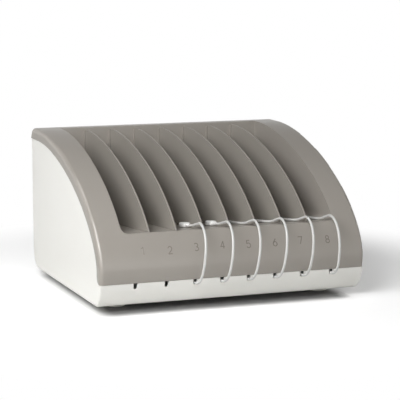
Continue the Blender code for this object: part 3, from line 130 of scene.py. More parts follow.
def noise(tree, place, size_mm, detail, roughness=0.5):
    """Noise with features of about a size in millimetres, as a value around one half."""
    made = add_node(tree, "ShaderNodeTexNoise",
                    {"Vector": place, "Scale": 1000 / size_mm, "Detail": detail,
                     "Roughness": roughness})
    return made.outputs["Fac"]


def remap(tree, value, start, end, low=0.0, high=1.0, interpolation="LINEAR"):
    """Value taken from one range to another."""
    made = add_node(tree, "ShaderNodeMapRange",
                    {"Value": value, "From Min": start, "From Max": end,
                     "To Min": low, "To Max": high}, interpolation_type=interpolation)
    return made.outputs[0]


def compute(tree, operation, *terms):
    """Result of one step of arithmetic."""
    return add_node(tree, "ShaderNodeMath", dict(enumerate(terms)), operation=operation).outputs[0]


def blend(tree, first, second, share):
    """Colour between two colours: share 0 gives the first, 1 the second."""
    made = add_node(tree, "ShaderNodeMix", {0: share, 6: first, 7: second}, data_type="RGBA")
    return made.outputs[2]


def surface(tree, shader):
    """Send a shader to the material's output."""
    add_node(tree, "ShaderNodeOutputMaterial", {"Surface": shader.outputs[0]})


print("taupe in linear light:", [round(part, 3) for part in linear("#A0988E")])

# %% [markdown]
# ## Moulded plastics
#
# Both shells are ABS, injection moulded. The cover's mould was spark eroded, which gives a fine
# matte grain; the tub's was polished less finely than a mirror, which gives a satin skin with a
# faint orange peel. One function makes both, because they differ only in colour and in the size of
# their grain. A real spark grain is about 0.3 mm across, too fine for this picture, so it is drawn
# at about 0.8 mm. Broad, hardly visible clouds in the colour and in the gloss keep large faces from
# looking painted in one stroke. A noise stays near its middle, so the gloss is spread over the part
# of its range that it really reaches. Each call gives the colour and the colour of its clouds, the
# roughness, and the grain's size and depth in millimetres.

# %% Moulded ABS
NOISE_LOW = 0.3
NOISE_HIGH = 0.7
PLASTIC_CLOUD_MM = 60
PLASTIC_SPREAD = 0.03


def varied_gloss(tree, source, roughness, spread):
    """Roughness that wanders a little around its middle as a noise does."""
    return remap(tree, source, NOISE_LOW, NOISE_HIGH, roughness - spread, roughness + spread)


def moulded_plastic(name, colour, cloud, roughness, grain_mm, grain_depth_mm, ior=1.53):
    """Injection-moulded plastic: clouds in the colour and the gloss, grain in the bump."""
    material, tree, place = new_material(name)
    clouds = noise(tree, place, PLASTIC_CLOUD_MM, detail=3.0)
    grain = noise(tree, place, grain_mm, detail=2.0, roughness=0.6)
    bump = add_node(tree, "ShaderNodeBump",
                    {"Height": grain, "Strength": 1.0, "Distance": grain_depth_mm / 1000})
    surface(tree, add_node(tree, "ShaderNodeBsdfPrincipled", {
        "IOR": ior,
        "Base Color": blend(tree, linear(colour), linear(cloud), clouds),
        "Roughness": varied_gloss(tree, clouds, roughness, PLASTIC_SPREAD),
        "Normal": bump.outputs[0]}))
    return material


# From a spark-eroded mould: the cover looks even and soft, with broad highlights and no mirror
# image.
TAUPE_ABS = moulded_plastic("spark_eroded_taupe_abs", "#A19C95", "#9F9992", 0.31, 0.8, 0.010)
# The same plastic in thin walls, a little duller, so that the dividers stay quiet in the slots.
TAUPE_ABS_THIN = moulded_plastic("thin_moulded_taupe_abs", "#9F9A92", "#9C9790", 0.36, 0.7, 0.010)
# From a satin-polished mould: the tub looks clean and faintly shiny, and reflects the floor softly.
WHITE_ABS = moulded_plastic("satin_white_abs", "#F3F2EE", "#F1F0EB", 0.31, 5.0, 0.002)
# From a deeply grained mould: the charger's case looks dull black and shows no finger marks.
CASE_PLASTIC = moulded_plastic("grained_black_abs", "#222222", "#1D1D1E", 0.50, 0.9, 0.030)
# From a mirror-polished mould: small sharp highlights make the connectors look hard.
CONNECTOR_PLASTIC = moulded_plastic("polished_white_polycarbonate", "#F6F6F4", "#F3F3F1", 0.20,
                                    4.0, 0.004, 1.58)
print("plastics:", [material.name for material in (TAUPE_ABS, TAUPE_ABS_THIN, WHITE_ABS,
                                                   CASE_PLASTIC, CONNECTOR_PLASTIC)])

# %% [markdown]
# ## Cable jacket and soft feet
#
# The jacket of such a cable is a soft thermoplastic elastomer, drawn over its wires. It is white,
# slightly waxy and a little rough from the drawing. A bit of subsurface scattering makes its
# shaded side glow as such jackets do. The scattering has nearly the same radius in red, green and
# blue: the shader's own radii are those of skin, and would tint a white thing pink. The feet are
# the same kind of material, cast nearly clear.

# %% Cable jacket and soft feet
ELASTOMER_CLOUD_MM = 12
ELASTOMER_SPREAD = 0.04
ELASTOMER_SKIN_DEPTH = 0.00001
SCATTER_DEPTH = 0.002
SCATTER_RADII = (1.0, 0.92, 0.84)


def elastomer(name, colour, cloud, roughness, glow, grain_mm):
    """Soft thermoplastic elastomer: light goes a little way into it."""
    material, tree, place = new_material(name)
    clouds = noise(tree, place, ELASTOMER_CLOUD_MM, detail=2.0)
    skin = noise(tree, place, grain_mm, detail=1.0)
    bump = add_node(tree, "ShaderNodeBump",
                    {"Height": skin, "Strength": 1.0, "Distance": ELASTOMER_SKIN_DEPTH})
    surface(tree, add_node(tree, "ShaderNodeBsdfPrincipled", {
        "IOR": 1.50,
        "Subsurface Weight": glow,
        "Subsurface Scale": SCATTER_DEPTH,
        "Subsurface Radius": SCATTER_RADII,
        "Base Color": blend(tree, linear(colour), linear(cloud), clouds),
        "Roughness": varied_gloss(tree, skin, roughness, ELASTOMER_SPREAD),
        "Normal": bump.outputs[0]}))
    return material


# Drawn through a die: the jacket looks waxy white, and bright even on its shaded side.
CABLE_JACKET = elastomer("drawn_white_elastomer", "#D2D2D0", "#CECECC", 0.42, 0.15, 0.7)
# Cast and nearly clear: the feet look soft and milky, with light inside them.
CLEAR_FEET = elastomer("clouded_clear_elastomer", "#F6F6EE", "#EFEFE7", 0.35, 0.35, 1.2)
print("elastomers:", CABLE_JACKET.name, CLEAR_FEET.name)

# %% [markdown]
# ## The six cables
#
# Each cable is a fixed length of something flexible. It leaves its notch straight out, bends up in
# front of the cover without touching it, goes over the lip and down to the floor of its own slot,
# where it lies until a device is put in. The cables for the phones are the shortest and those for
# the laptops the longest. The route's points are the same as those of the CAD model's plain tubes,
# in three tables. The rise up to the lip is one for all, as depth and height. At the lip each cable
# stands a little to one side of its slot's middle. The landing is given as the place across from
# the slot's middle, the depth, and the height over the slot's sloping floor.

# %% Routes of the cables
SLOT_PITCH = 0.03525
MIDDLE_NUMBER = 4.5
CORD_DIAMETER = 0.0032
FIT_GAP = 0.0003
LIP = Vector((-0.131716, 0.0955))
FLOOR_FALL = math.radians(4.5)
HALF_WIDTH = 0.175
NOTCH_SHARES = (-0.743, -0.515, -0.303, -0.101, 0.101, 0.303, 0.515, 0.743)
NOTCH_PLACES = [share * HALF_WIDTH for share in NOTCH_SHARES]
CABLE_NUMBERS = range(3, 9)

RISE_ROUTE = (
    (-0.1475, 0.0331), (-0.1504, 0.0331), (-0.1540, 0.0334), (-0.1583, 0.0346),
    (-0.1622, 0.0370), (-0.1653, 0.0406), (-0.1676, 0.0453), (-0.1691, 0.0508),
    (-0.1699, 0.0568), (-0.1701, 0.0631), (-0.1696, 0.0695), (-0.1684, 0.0759),
    (-0.1664, 0.0821), (-0.1635, 0.0880), (-0.1596, 0.0934), (-0.1547, 0.0980),
    (-0.1489, 0.1015), (-0.1425, 0.1035), (-0.1358, 0.1037), (-0.1294, 0.1019))

LIP_PLACES = {3: 0.0104, 4: 0.0111, 5: 0.0119, 6: 0.0126, 7: 0.0124, 8: 0.0101}

LANDING_ROUTES = {
    3: ((0.0097, -0.1237, 0.0036), (0.0089, -0.1185, 0.0021), (0.0081, -0.1135, 0.0015),
        (0.0075, -0.1095, 0.0015)),
    4: ((0.0103, -0.1237, 0.0036), (0.0094, -0.1185, 0.0021), (0.0085, -0.1135, 0.0015),
        (0.0078, -0.1095, 0.0015)),
    5: ((0.0112, -0.1232, 0.0031), (0.0099, -0.1165, 0.0010), (0.0078, -0.1085, 0.0),
        (0.0050, -0.1000, 0.0), (0.0023, -0.0910, 0.0), (0.0004, -0.0815, 0.0002),
        (-0.0005, -0.0725, 0.0008), (-0.0008, -0.0650, 0.0015), (-0.0008, -0.0590, 0.0015)),
    6: ((0.0119, -0.1232, 0.0031), (0.0103, -0.1165, 0.0010), (0.0077, -0.1085, 0.0),
        (0.0045, -0.1000, 0.0), (0.0016, -0.0910, 0.0), (-0.0003, -0.0815, 0.0002),
        (-0.0010, -0.0725, 0.0008), (-0.0009, -0.0650, 0.0015), (-0.0007, -0.0590, 0.0015)),
    7: ((0.0118, -0.1232, 0.0031), (0.0107, -0.1165, 0.0010), (0.0084, -0.1080, 0.0),
        (0.0048, -0.0985, 0.0), (0.0005, -0.0885, 0.0), (-0.0035, -0.0780, 0.0),
        (-0.0063, -0.0670, 0.0), (-0.0074, -0.0555, 0.0), (-0.0066, -0.0440, 0.0),
        (-0.0042, -0.0330, 0.0), (-0.0011, -0.0220, 0.0), (0.0016, -0.0110, 0.0),
        (0.0031, 0.0005, 0.0), (0.0030, 0.0120, 0.0), (0.0018, 0.0230, 0.0002),
        (0.0005, 0.0330, 0.0008), (-0.0003, 0.0410, 0.0015), (-0.0006, 0.0470, 0.0015)),
    8: ((0.0094, -0.1232, 0.0031), (0.0083, -0.1165, 0.0010), (0.0065, -0.1080, 0.0),
        (0.0041, -0.0985, 0.0), (0.0014, -0.0885, 0.0), (-0.0010, -0.0780, 0.0),
        (-0.0026, -0.0670, 0.0), (-0.0029, -0.0555, 0.0), (-0.0017, -0.0440, 0.0),
        (0.0006, -0.0330, 0.0), (0.0029, -0.0220, 0.0), (0.0044, -0.0110, 0.0),
        (0.0046, 0.0005, 0.0), (0.0036, 0.0120, 0.0), (0.0019, 0.0230, 0.0002),
        (0.0005, 0.0330, 0.0008), (-0.0003, 0.0410, 0.0015), (-0.0006, 0.0470, 0.0015))}


def slot_middle(number):
    """Middle of a slot across the station; slot 1 is on the left."""
    return (number - MIDDLE_NUMBER) * SLOT_PITCH


def cable_route(number):
    """Route of one cable from its notch over the lip and along its slot's floor."""
    notch = NOTCH_PLACES[number - 1]
    middle = slot_middle(number)
    route = []
    for place, (depth, height) in enumerate(RISE_ROUTE):
        share = place / (len(RISE_ROUTE) - 1)
        drift = share * share * (3 - 2 * share)
        route.append(Vector((notch + (middle + LIP_PLACES[number] - notch) * drift, depth, height)))
    for across, depth, above in LANDING_ROUTES[number]:
        floor = LIP.y - (depth - LIP.x) * math.tan(FLOOR_FALL)
        route.append(Vector((middle + across, depth, floor + FIT_GAP + CORD_DIAMETER / 2 + above)))
    return route


routes = {number: cable_route(number) for number in CABLE_NUMBERS}
print("points on each cable:", {number: len(route) for number, route in routes.items()})

# %% [markdown]
# ### Tubes along the routes
#
# An automatic Bezier curve through the points has no kinks, so it makes a smoother tube than the
# CAD model's own straight pieces. The curve also knows its own length, which is the cable's.

# %% Cables as smooth tubes
TUBE_STEPS = 6


def cable(number, route):
    """One cable as a Bezier curve through its route, with round section and closed ends."""
    curve = bpy.data.curves.new("white_cable_%d" % number, "CURVE")
    curve.dimensions = "3D"
    curve.bevel_depth = CORD_DIAMETER / 2
    curve.bevel_resolution = TUBE_STEPS
    curve.resolution_u = TUBE_STEPS
    curve.use_fill_caps = True
    spline = curve.splines.new("BEZIER")
    spline.bezier_points.add(len(route) - 1)
    for point, place in zip(spline.bezier_points, route):
        point.co = place
        point.handle_left_type = "AUTO"
        point.handle_right_type = "AUTO"
    thing = bpy.data.objects.new(curve.name, curve)
    bpy.context.scene.collection.objects.link(thing)
    curve.materials.append(CABLE_JACKET)
    return thing


cables = {number: cable(number, route) for number, route in routes.items()}

# %% [markdown]
# ## Connectors
#
# The connector is a hard moulded grip with rounded edges, and its strain relief is moulded in one
# with it: a short taper with rings, which lets the cable bend without breaking. Both are turned
# shapes in a wide sense, because every section across the cable is a rounded rectangle or a
# circle. So a loft does it: a table of sections along the cable, joined ring by ring. Each row is
# the place along the cable, the half width, the half height and the squareness, in millimetres.

# %% A loft along the cable
SECTION_POINTS = 40


def section(along, half_width, half_height, squareness):
    """Ring of points across the cable: squareness 2 is an ellipse, more a rounded rectangle."""
    ring = []
    for step in range(SECTION_POINTS):
        turn = 2 * math.pi * step / SECTION_POINTS
        across = abs(math.cos(turn)) ** (2 / squareness) * math.copysign(half_width, math.cos(turn))
        high = abs(math.sin(turn)) ** (2 / squareness) * math.copysign(half_height, math.sin(turn))
        ring.append(Vector((across, along, high)))
    return ring


def loft(name, table):
    """Closed mesh through sections in millimetres, from the cable's end to the far end."""
    work = bmesh.new()
    rings = [[work.verts.new(point / 1000) for point in section(*row)] for row in table]
    for first, second in zip(rings, rings[1:]):
        for place in range(SECTION_POINTS):
            after = (place + 1) % SECTION_POINTS
            work.faces.new((first[place], first[after], second[after], second[place]))
    work.faces.new(rings[0])
    work.faces.new(list(reversed(rings[-1])))
    bmesh.ops.recalc_face_normals(work, faces=work.faces)
    mesh = bpy.data.meshes.new(name)
    work.to_mesh(mesh)
    work.free()
    for face in mesh.polygons:
        face.use_smooth = len(face.vertices) == 4
    return mesh


ROUND = 2.0
RING_COUNT = 4
FIRST_RING = -11.4
RING_PITCH = 1.25
FIRST_RADIUS = 2.05
RADIUS_GROWTH = 0.17
# One ring's profile: how far along from its start, and how far out from its radius.
RING_PROFILE = ((0.0, 0.05), (0.65, 0.10), (0.75, -0.18), (1.10, -0.14))

connector_sections = [(-12.0, 1.90, 1.90, ROUND), (-11.9, 2.02, 2.02, ROUND)]
for ring in range(RING_COUNT):
    radius = FIRST_RADIUS + ring * RADIUS_GROWTH
    for along, out in RING_PROFILE:
        connector_sections.append((FIRST_RING + ring * RING_PITCH + along,
                                   radius + out, radius + out, ROUND))
connector_sections += [
    (-6.2, 2.75, 2.70, 2.2), (-6.0, 3.40, 2.80, 2.6), (-5.9, 4.10, 2.86, 3.2),
    (-5.6, 4.65, 2.96, 3.8), (-5.0, 4.98, 3.03, 4.4), (-3.5, 5.12, 3.07, 4.8),
    (0.0, 5.18, 3.09, 5.0), (4.0, 5.18, 3.09, 5.0), (5.2, 5.12, 3.03, 4.6),
    (5.8, 4.92, 2.86, 4.2), (6.0, 4.60, 2.60, 3.8)]
connector_mesh = loft("connector_grip", connector_sections)
print("connector faces:", len(connector_mesh.polygons))

# %% [markdown]
# ### A connector on each cable
#
# Each connector continues the last bit of its cable. The rule is the CAD model's own, so the steel
# tips, which stay as they are, sit right in front of the grips. The printed middles of the CAD
# model's boxes and of the new meshes show that they lie in one place.

# %% A connector on each cable
RELIEF_LENGTH = 0.006
GRIP_HALF_LENGTH = 0.006


def end_place(route):
    """Place and turn of the connector on a cable's far end, from the CAD model's own rule."""
    along = (route[-1] - route[-2]).normalized()
    turn = Vector((0, 1, 0)).rotation_difference(along).to_matrix().to_4x4()
    middle = route[-1] + along * (FIT_GAP + RELIEF_LENGTH + GRIP_HALF_LENGTH)
    return Matrix.Translation(middle) @ turn


connectors = {}
for number, route in routes.items():
    mesh = connector_mesh.copy()
    mesh.transform(end_place(route))
    mesh.materials.append(CONNECTOR_PLASTIC)
    connectors[number] = bpy.data.objects.new("moulded_connector_%d" % number, mesh)
    bpy.context.scene.collection.objects.link(connectors[number])
for number, thing in connectors.items():
    low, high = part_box("cable_connector_%d" % number)
    points = [vertex.co for vertex in thing.data.vertices]
    centre = sum(points, Vector()) / len(points)
    print("connector", number, "CAD box middle", tuple(round(c, 4) for c in (low + high) / 2),
          "here", tuple(round(c, 4) for c in centre))

# %% [markdown]
# ### What the cables are
#
# The cables and their connectors ride with the cover and take the place of the CAD model's plain
# ones.

for number, thing in cables.items():
    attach(thing, "cover")
    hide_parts("charge_cable_%d" % number)
    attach(connectors[number], "cover")
    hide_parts("cable_connector_%d" % number)
print("cables declared:", len(cables))

# %% [markdown]
# ## Metals
#
# The tips and the shells of the sockets and plugs are steel, stamped and nickel plated; the screws
# are zinc plated and the inlet's pins are brass. Rolling leaves faint lines along a sheet, so the
# noise behind the roughness is stretched along one axis.

# %% Plated metals
ROLLING_STRETCH = (1.0, 0.08, 1.0)
ROLLING_MM = 0.4
METAL_SPREAD = 0.06
STEEL_LIGHT = linear("#D5D3CE")
STEEL_SHADE = linear("#C6C4C0")
TRACE_PITCH_MM = 8


def plated_metal(name, colour, shade, roughness):
    """Rolled and plated sheet: fine lines along it vary the gloss."""
    material, tree, place = new_material(name)
    stretch = add_node(tree, "ShaderNodeMapping", {"Vector": place, "Scale": ROLLING_STRETCH})
    lines = noise(tree, stretch.outputs[0], ROLLING_MM, detail=3.0)
    surface(tree, add_node(tree, "ShaderNodeBsdfPrincipled", {
        "Metallic": 1.0,
        "Base Color": blend(tree, colour, shade, lines),
        "Roughness": varied_gloss(tree, lines, roughness, METAL_SPREAD)}))
    return material


def solder_mask(name):
    """Green lacquer over copper: traces show as slightly lighter lines."""
    material, tree, place = new_material(name)
    traces = add_node(tree, "ShaderNodeTexBrick",
                      {"Vector": place, "Scale": 1000 / TRACE_PITCH_MM, "Mortar Size": 0.03,
                       "Color1": linear("#1E6B41"), "Color2": linear("#1B633C"),
                       "Mortar": linear("#2C8452")})
    surface(tree, add_node(tree, "ShaderNodeBsdfPrincipled", {
        "Base Color": traces.outputs["Color"], "Roughness": 0.30, "Coat Weight": 0.4}))
    return material


# Bright and slightly warm, with faint lines: stamped contact parts.
NICKEL = plated_metal("nickel_plated_steel", STEEL_LIGHT, STEEL_SHADE, 0.21)
# Bluer and duller: common machine screws.
ZINC = plated_metal("zinc_plated_steel", linear("#B9BBBE"), linear("#A7AAAF"), 0.36)
# Yellow and bright: the pins that carry the mains.
BRASS = plated_metal("bright_brass", linear("#D8BC7A"), linear("#CBAE69"), 0.21)
# Green lacquer with lighter traces: the board reads as a circuit board.
BOARD_LACQUER = solder_mask("green_solder_mask")
print("metals:", NICKEL.name, ZINC.name, BRASS.name)

# %% [markdown]
# ### Steel and plastic in one piece
#
# A socket also holds a black plastic tongue, and a plug has a white moulded grip, each in one CAD
# solid with its steel. A mask on the place along each axis tells steel from plastic, because that
# leaves the mesh as it is. Its limits are the CAD model's own lengths. The sockets stand in a row,
# so their mask repeats at their pitch.

# %% Sockets and plugs
SHELL_LINES_MM = 0.5
SHELL_GLOSS = (0.28, 0.36)
SOCKET_PITCH = 0.028
TONGUE_FRONT = 0.0205
TONGUE_LEVELS = (0.0281, 0.0300)
TONGUE_HALF_WIDTH = 0.0055
GRIP_END = 0.0161
FAR = 1.0


def inside(tree, source, low, high):
    """Mask that is 1 where a value lies between two limits."""
    return compute(tree, "MULTIPLY", compute(tree, "GREATER_THAN", source, low),
                   compute(tree, "LESS_THAN", source, high))


def tongue_mask(tree, axes):
    """1 on the plastic tongue in each socket; the sockets repeat across the charger."""
    shifted = compute(tree, "ADD", axes["X"], SOCKET_PITCH / 2)
    across = compute(tree, "WRAP", shifted, SOCKET_PITCH / 2, -SOCKET_PITCH / 2)
    wide = inside(tree, across, -TONGUE_HALF_WIDTH, TONGUE_HALF_WIDTH)
    tall = inside(tree, axes["Z"], *TONGUE_LEVELS)
    deep = inside(tree, axes["Y"], TONGUE_FRONT, FAR)
    return compute(tree, "MULTIPLY", compute(tree, "MULTIPLY", wide, tall), deep)


def grip_mask(tree, axes):
    """1 on a plug's moulded grip, in front of its steel shell."""
    return inside(tree, axes["Y"], -FAR, GRIP_END)


def steel_and_plastic(name, plastic, mask_of):
    """Nickel-plated steel and moulded plastic in one part, told apart by a mask on its place."""
    material, tree, place = new_material(name)
    is_plastic = mask_of(tree, add_node(tree, "ShaderNodeSeparateXYZ", {0: place}).outputs)
    lines = noise(tree, place, SHELL_LINES_MM, detail=2.0)
    steel = blend(tree, STEEL_LIGHT, STEEL_SHADE, lines)
    surface(tree, add_node(tree, "ShaderNodeBsdfPrincipled", {
        "Base Color": blend(tree, steel, linear(plastic), is_plastic),
        "Metallic": compute(tree, "SUBTRACT", 1.0, is_plastic),
        "Roughness": remap(tree, lines, 0.0, 1.0, *SHELL_GLOSS)}))
    return material


# A black tongue in a bright shell: each socket reads as a socket, not as a hole.
SOCKET_STEEL = steel_and_plastic("socket_steel_black_tongue", "#1B1B1D", tongue_mask)
# A bright shell that ends in a white grip: each plug reads as a plug in its socket.
PLUG_STEEL = steel_and_plastic("plug_steel_white_grip", "#F0F0EE", grip_mask)
print("mixed pieces:", SOCKET_STEEL.name, PLUG_STEEL.name)

# %% [markdown]
# ## Finishes on the CAD pieces
#
# The hard pieces keep their CAD shapes, so each only gets its finish. A table from the start of a
# node's name to its material is easier to check than sixty single lines.

# %% Give every CAD node its finish
NODE_FINISHES = (
    ("base_tub", WHITE_ABS), ("foot_", CLEAR_FEET), ("charger_case", CASE_PLASTIC),
    ("charger_board", BOARD_LACQUER), ("charger_screw", ZINC), ("usb_port", SOCKET_STEEL),
    ("mains_inlet", CASE_PLASTIC), ("inlet_pin", BRASS), ("usb_plug", PLUG_STEEL),
    ("inner_lead", CABLE_JACKET), ("lift_off_cover", TAUPE_ABS), ("divider_", TAUPE_ABS_THIN),
    ("charge_cable", CABLE_JACKET), ("cable_connector", CONNECTOR_PLASTIC),
    ("connector_tip", NICKEL))

for name, thing in cad_nodes.items():
    finish = [material for start, material in NODE_FINISHES if name.startswith(start)][0]
    thing.data.materials.clear()
    thing.data.materials.append(finish)
print("finished nodes:", len(cad_nodes))

# %% [markdown]
# ## The figures over the notches
#
# Each slot's number stands on the panel over its notch, about 8 mm high and only a shade darker
# than the cover, as a tone-on-tone pad print. A text object would bring a typeface with it, so the
# figures are drawn here as single strokes, in shares of a figure's height, from its lower left.

# %% Strokes of the figures
FIGURE_HEIGHT = 0.0083
FIGURE_WIDENING = 1.12
FIGURE_MIDDLE = (0.28, 0.5)
FIGURE_STROKE = 0.0011
FIGURE_FILM = 0.00016
FIGURE_STEP = 0.0004
FIGURE_DEPTH = -0.165
ARC_STEPS = 16
FIGURE_PLACES = {1: (-0.1195, 0.0759), 2: (-0.0841, 0.0748), 3: (-0.0497, 0.0764),
                 4: (-0.0155, 0.0768), 5: (0.0187, 0.0758), 6: (0.0545, 0.0756),
                 7: (0.0892, 0.0760), 8: (0.1263, 0.0753)}


def arc(across, high, wide, tall, first, last):
    """Points of an elliptic arc, in shares of the figure's height; angles in degrees."""
    turns = [math.radians(first + (last - first) * step / ARC_STEPS)
             for step in range(ARC_STEPS + 1)]
    return [(across + wide * math.cos(turn), high + tall * math.sin(turn)) for turn in turns]


FIGURE_STROKES = {
    1: [[(0.20, 0.80), (0.42, 1), (0.42, 0)]],
    2: [arc(0.28, 0.72, 0.26, 0.28, 170, -40) + [(0.02, 0), (0.56, 0)]],
    3: [arc(0.27, 0.75, 0.24, 0.25, 150, -90), arc(0.27, 0.26, 0.27, 0.26, 90, -150)],
    4: [[(0.42, 0), (0.42, 1), (0, 0.28), (0.58, 0.28)]],
    5: [[(0.52, 1), (0.12, 1), (0.07, 0.56)] + arc(0.28, 0.32, 0.28, 0.32, 130, -150)],
    6: [[(0.43, 1), (0.16, 0.66), (0.03, 0.42)], arc(0.28, 0.30, 0.27, 0.30, 0, 360)],
    7: [[(0, 1), (0.56, 1), (0.2, 0)]],
    8: [arc(0.28, 0.76, 0.22, 0.24, 0, 360), arc(0.28, 0.26, 0.27, 0.26, 0, 360)]}

strokes = bpy.data.curves.new("figure_strokes", "CURVE")
strokes.dimensions = "3D"
for figure, lines in FIGURE_STROKES.items():
    centre_x, centre_z = FIGURE_PLACES[figure]
    for line in lines:
        spline = strokes.splines.new("POLY")
        spline.points.add(len(line) - 1)
        for point, (across, high) in zip(spline.points, line):
            point.co = (centre_x + (across - FIGURE_MIDDLE[0]) * FIGURE_WIDENING * FIGURE_HEIGHT,
                        FIGURE_DEPTH, centre_z + (high - FIGURE_MIDDLE[1]) * FIGURE_HEIGHT, 1)
stroke_object = bpy.data.objects.new("figure_strokes", strokes)
bpy.context.scene.collection.objects.link(stroke_object)
print("strokes:", len(strokes.splines))

# %% [markdown]
# ### Laying them on the panel
#
# A Geometry Nodes tree lays the strokes on the cover: it cuts each stroke into short steps, shoots
# a ray from each step to the panel, turns the stroke to the panel's own direction, and sweeps a
# flat bar along it. So the figures follow the panel's curve without any measuring, and their width
# is one named input. The result is turned into a plain mesh.

# %% Lay the figures on the panel
RAY_LENGTH = 0.1


def figure_tree(print_material):
    """Geometry Nodes: strokes dropped on the cover along +Y, swept with a flat bar."""
    tree = bpy.data.node_groups.new("figures_on_panel", "GeometryNodeTree")
    face = tree.interface
    face.new_socket("Geometry", in_out="INPUT", socket_type="NodeSocketGeometry")
    sockets = {name: face.new_socket(name, in_out="INPUT", socket_type=kind)
               for name, kind in (("Cover", "NodeSocketObject"),
                                  ("Stroke Width", "NodeSocketFloat"),
                                  ("Film Height", "NodeSocketFloat"),
                                  ("Step", "NodeSocketFloat"))}
    face.new_socket("Geometry", in_out="OUTPUT", socket_type="NodeSocketGeometry")
    start = add_node(tree, "NodeGroupInput").outputs
    cover = add_node(tree, "GeometryNodeObjectInfo", {"Object": start["Cover"]})
    fine = add_node(tree, "GeometryNodeResampleCurve",
                    {"Curve": start["Geometry"], "Length": start["Step"]}, mode="LENGTH")
    ray = add_node(tree, "GeometryNodeRaycast",
                   {"Target Geometry": cover.outputs["Geometry"], "Ray Direction": (0, 1, 0),
                    "Ray Length": RAY_LENGTH})
    kept = add_node(tree, "GeometryNodeCaptureAttribute", {"Geometry": fine.outputs[0]},
                    domain="POINT")
    kept.capture_items.new("VECTOR", "Panel Direction")
    tree.links.new(ray.outputs["Hit Normal"], kept.inputs["Panel Direction"])
    laid = add_node(tree, "GeometryNodeSetPosition", {"Geometry": kept.outputs["Geometry"],
                                                      "Position": ray.outputs["Hit Position"]})
    facing = add_node(tree, "GeometryNodeSetCurveNormal",
                      {"Curve": laid.outputs[0], "Normal": kept.outputs["Panel Direction"]},
                      mode="FREE")
    bar = add_node(tree, "GeometryNodeCurvePrimitiveQuadrilateral",
                   {"Width": start["Film Height"], "Height": start["Stroke Width"]})
    swept = add_node(tree, "GeometryNodeCurveToMesh",
                     {"Curve": facing.outputs[0], "Profile Curve": bar.outputs[0],
                      "Fill Caps": True})
    whole = add_node(tree, "GeometryNodeRealizeInstances", {"Geometry": swept.outputs[0]})
    printed = add_node(tree, "GeometryNodeSetMaterial",
                       {"Geometry": whole.outputs[0], "Material": print_material})
    add_node(tree, "NodeGroupOutput", {"Geometry": printed.outputs[0]})
    return tree, {name: socket.identifier for name, socket in sockets.items()}


def plain_mesh(thing, name):
    """Result of an object's modifiers as a mesh object of that name; the first object goes."""
    graph = bpy.context.evaluated_depsgraph_get()
    mesh = bpy.data.meshes.new_from_object(thing.evaluated_get(graph))
    mesh.name = name
    bpy.data.objects.remove(thing)
    made = bpy.data.objects.new(name, mesh)
    bpy.context.scene.collection.objects.link(made)
    work = bmesh.new()
    work.from_mesh(mesh)
    bmesh.ops.recalc_face_normals(work, faces=work.faces)
    work.to_mesh(mesh)
    work.free()
    return made


# Pad-printed ink of the cover's own hue, darker and duller: the figures show at a second look.
FIGURE_INK = moulded_plastic("darker_taupe_pad_print", "#7F7971", "#7B756D", 0.45, 0.6, 0.004)
figures_tree, figure_sockets = figure_tree(FIGURE_INK)
laying = stroke_object.modifiers.new("figures_on_panel", "NODES")
laying.node_group = figures_tree
laying[figure_sockets["Cover"]] = cad_nodes["lift_off_cover"]
laying[figure_sockets["Stroke Width"]] = FIGURE_STROKE
laying[figure_sockets["Film Height"]] = FIGURE_FILM
laying[figure_sockets["Step"]] = FIGURE_STEP
figures = plain_mesh(stroke_object, "slot_figures")
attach(figures, "cover")
levels = [round(1000 * corner[2], 1) for corner in figures.bound_box]
print("figures:", len(figures.data.polygons), "faces, from", min(levels), "to", max(levels), "mm")

# %% [markdown]
# ## Rounded edges that look round
#
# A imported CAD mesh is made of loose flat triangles, so each rounding shows its few facets and never
# catches a clean highlight. A small Geometry Nodes tree joins the loose triangles, drops the flat
# normals that they came with, and shades smoothly over every edge that turns less than a limit. The
# Weighted Normal modifier after it lets the large faces keep their own direction, so that only the
# roundings are blended. No point of the mesh moves.

# %% Smooth shading by angle
SMOOTH_LIMIT = math.radians(38)
JOIN_DISTANCE = 0.00001


def smooth_shading_tree():
    """Geometry Nodes: join loose triangles, then shade smooth except over sharper edges."""
    tree = bpy.data.node_groups.new("smooth_by_angle", "GeometryNodeTree")
    face = tree.interface
    face.new_socket("Geometry", in_out="INPUT", socket_type="NodeSocketGeometry")
    limit = face.new_socket("Limit", in_out="INPUT", socket_type="NodeSocketFloat")
    distance = face.new_socket("Join Distance", in_out="INPUT", socket_type="NodeSocketFloat")
    face.new_socket("Geometry", in_out="OUTPUT", socket_type="NodeSocketGeometry")
    start = add_node(tree, "NodeGroupInput").outputs
    joined = add_node(tree, "GeometryNodeMergeByDistance",
                      {"Geometry": start["Geometry"], "Distance": start["Join Distance"]})
    bare = add_node(tree, "GeometryNodeRemoveAttribute",
                    {"Geometry": joined.outputs[0], "Name": "custom_normal"})
    soft = add_node(tree, "GeometryNodeSetShadeSmooth",
                    {"Geometry": bare.outputs[0], "Shade Smooth": True}, domain="FACE")
    bend = add_node(tree, "GeometryNodeInputMeshEdgeAngle")
    crisp = add_node(tree, "FunctionNodeCompare",
                     {0: bend.outputs["Unsigned Angle"], 1: start["Limit"]},
                     data_type="FLOAT", operation="GREATER_THAN")
    kept = add_node(tree, "GeometryNodeSetShadeSmooth",
                    {"Geometry": soft.outputs[0], "Selection": crisp.outputs[0],
                     "Shade Smooth": False}, domain="EDGE")
    add_node(tree, "NodeGroupOutput", {"Geometry": kept.outputs[0]})
    return tree, limit.identifier, distance.identifier


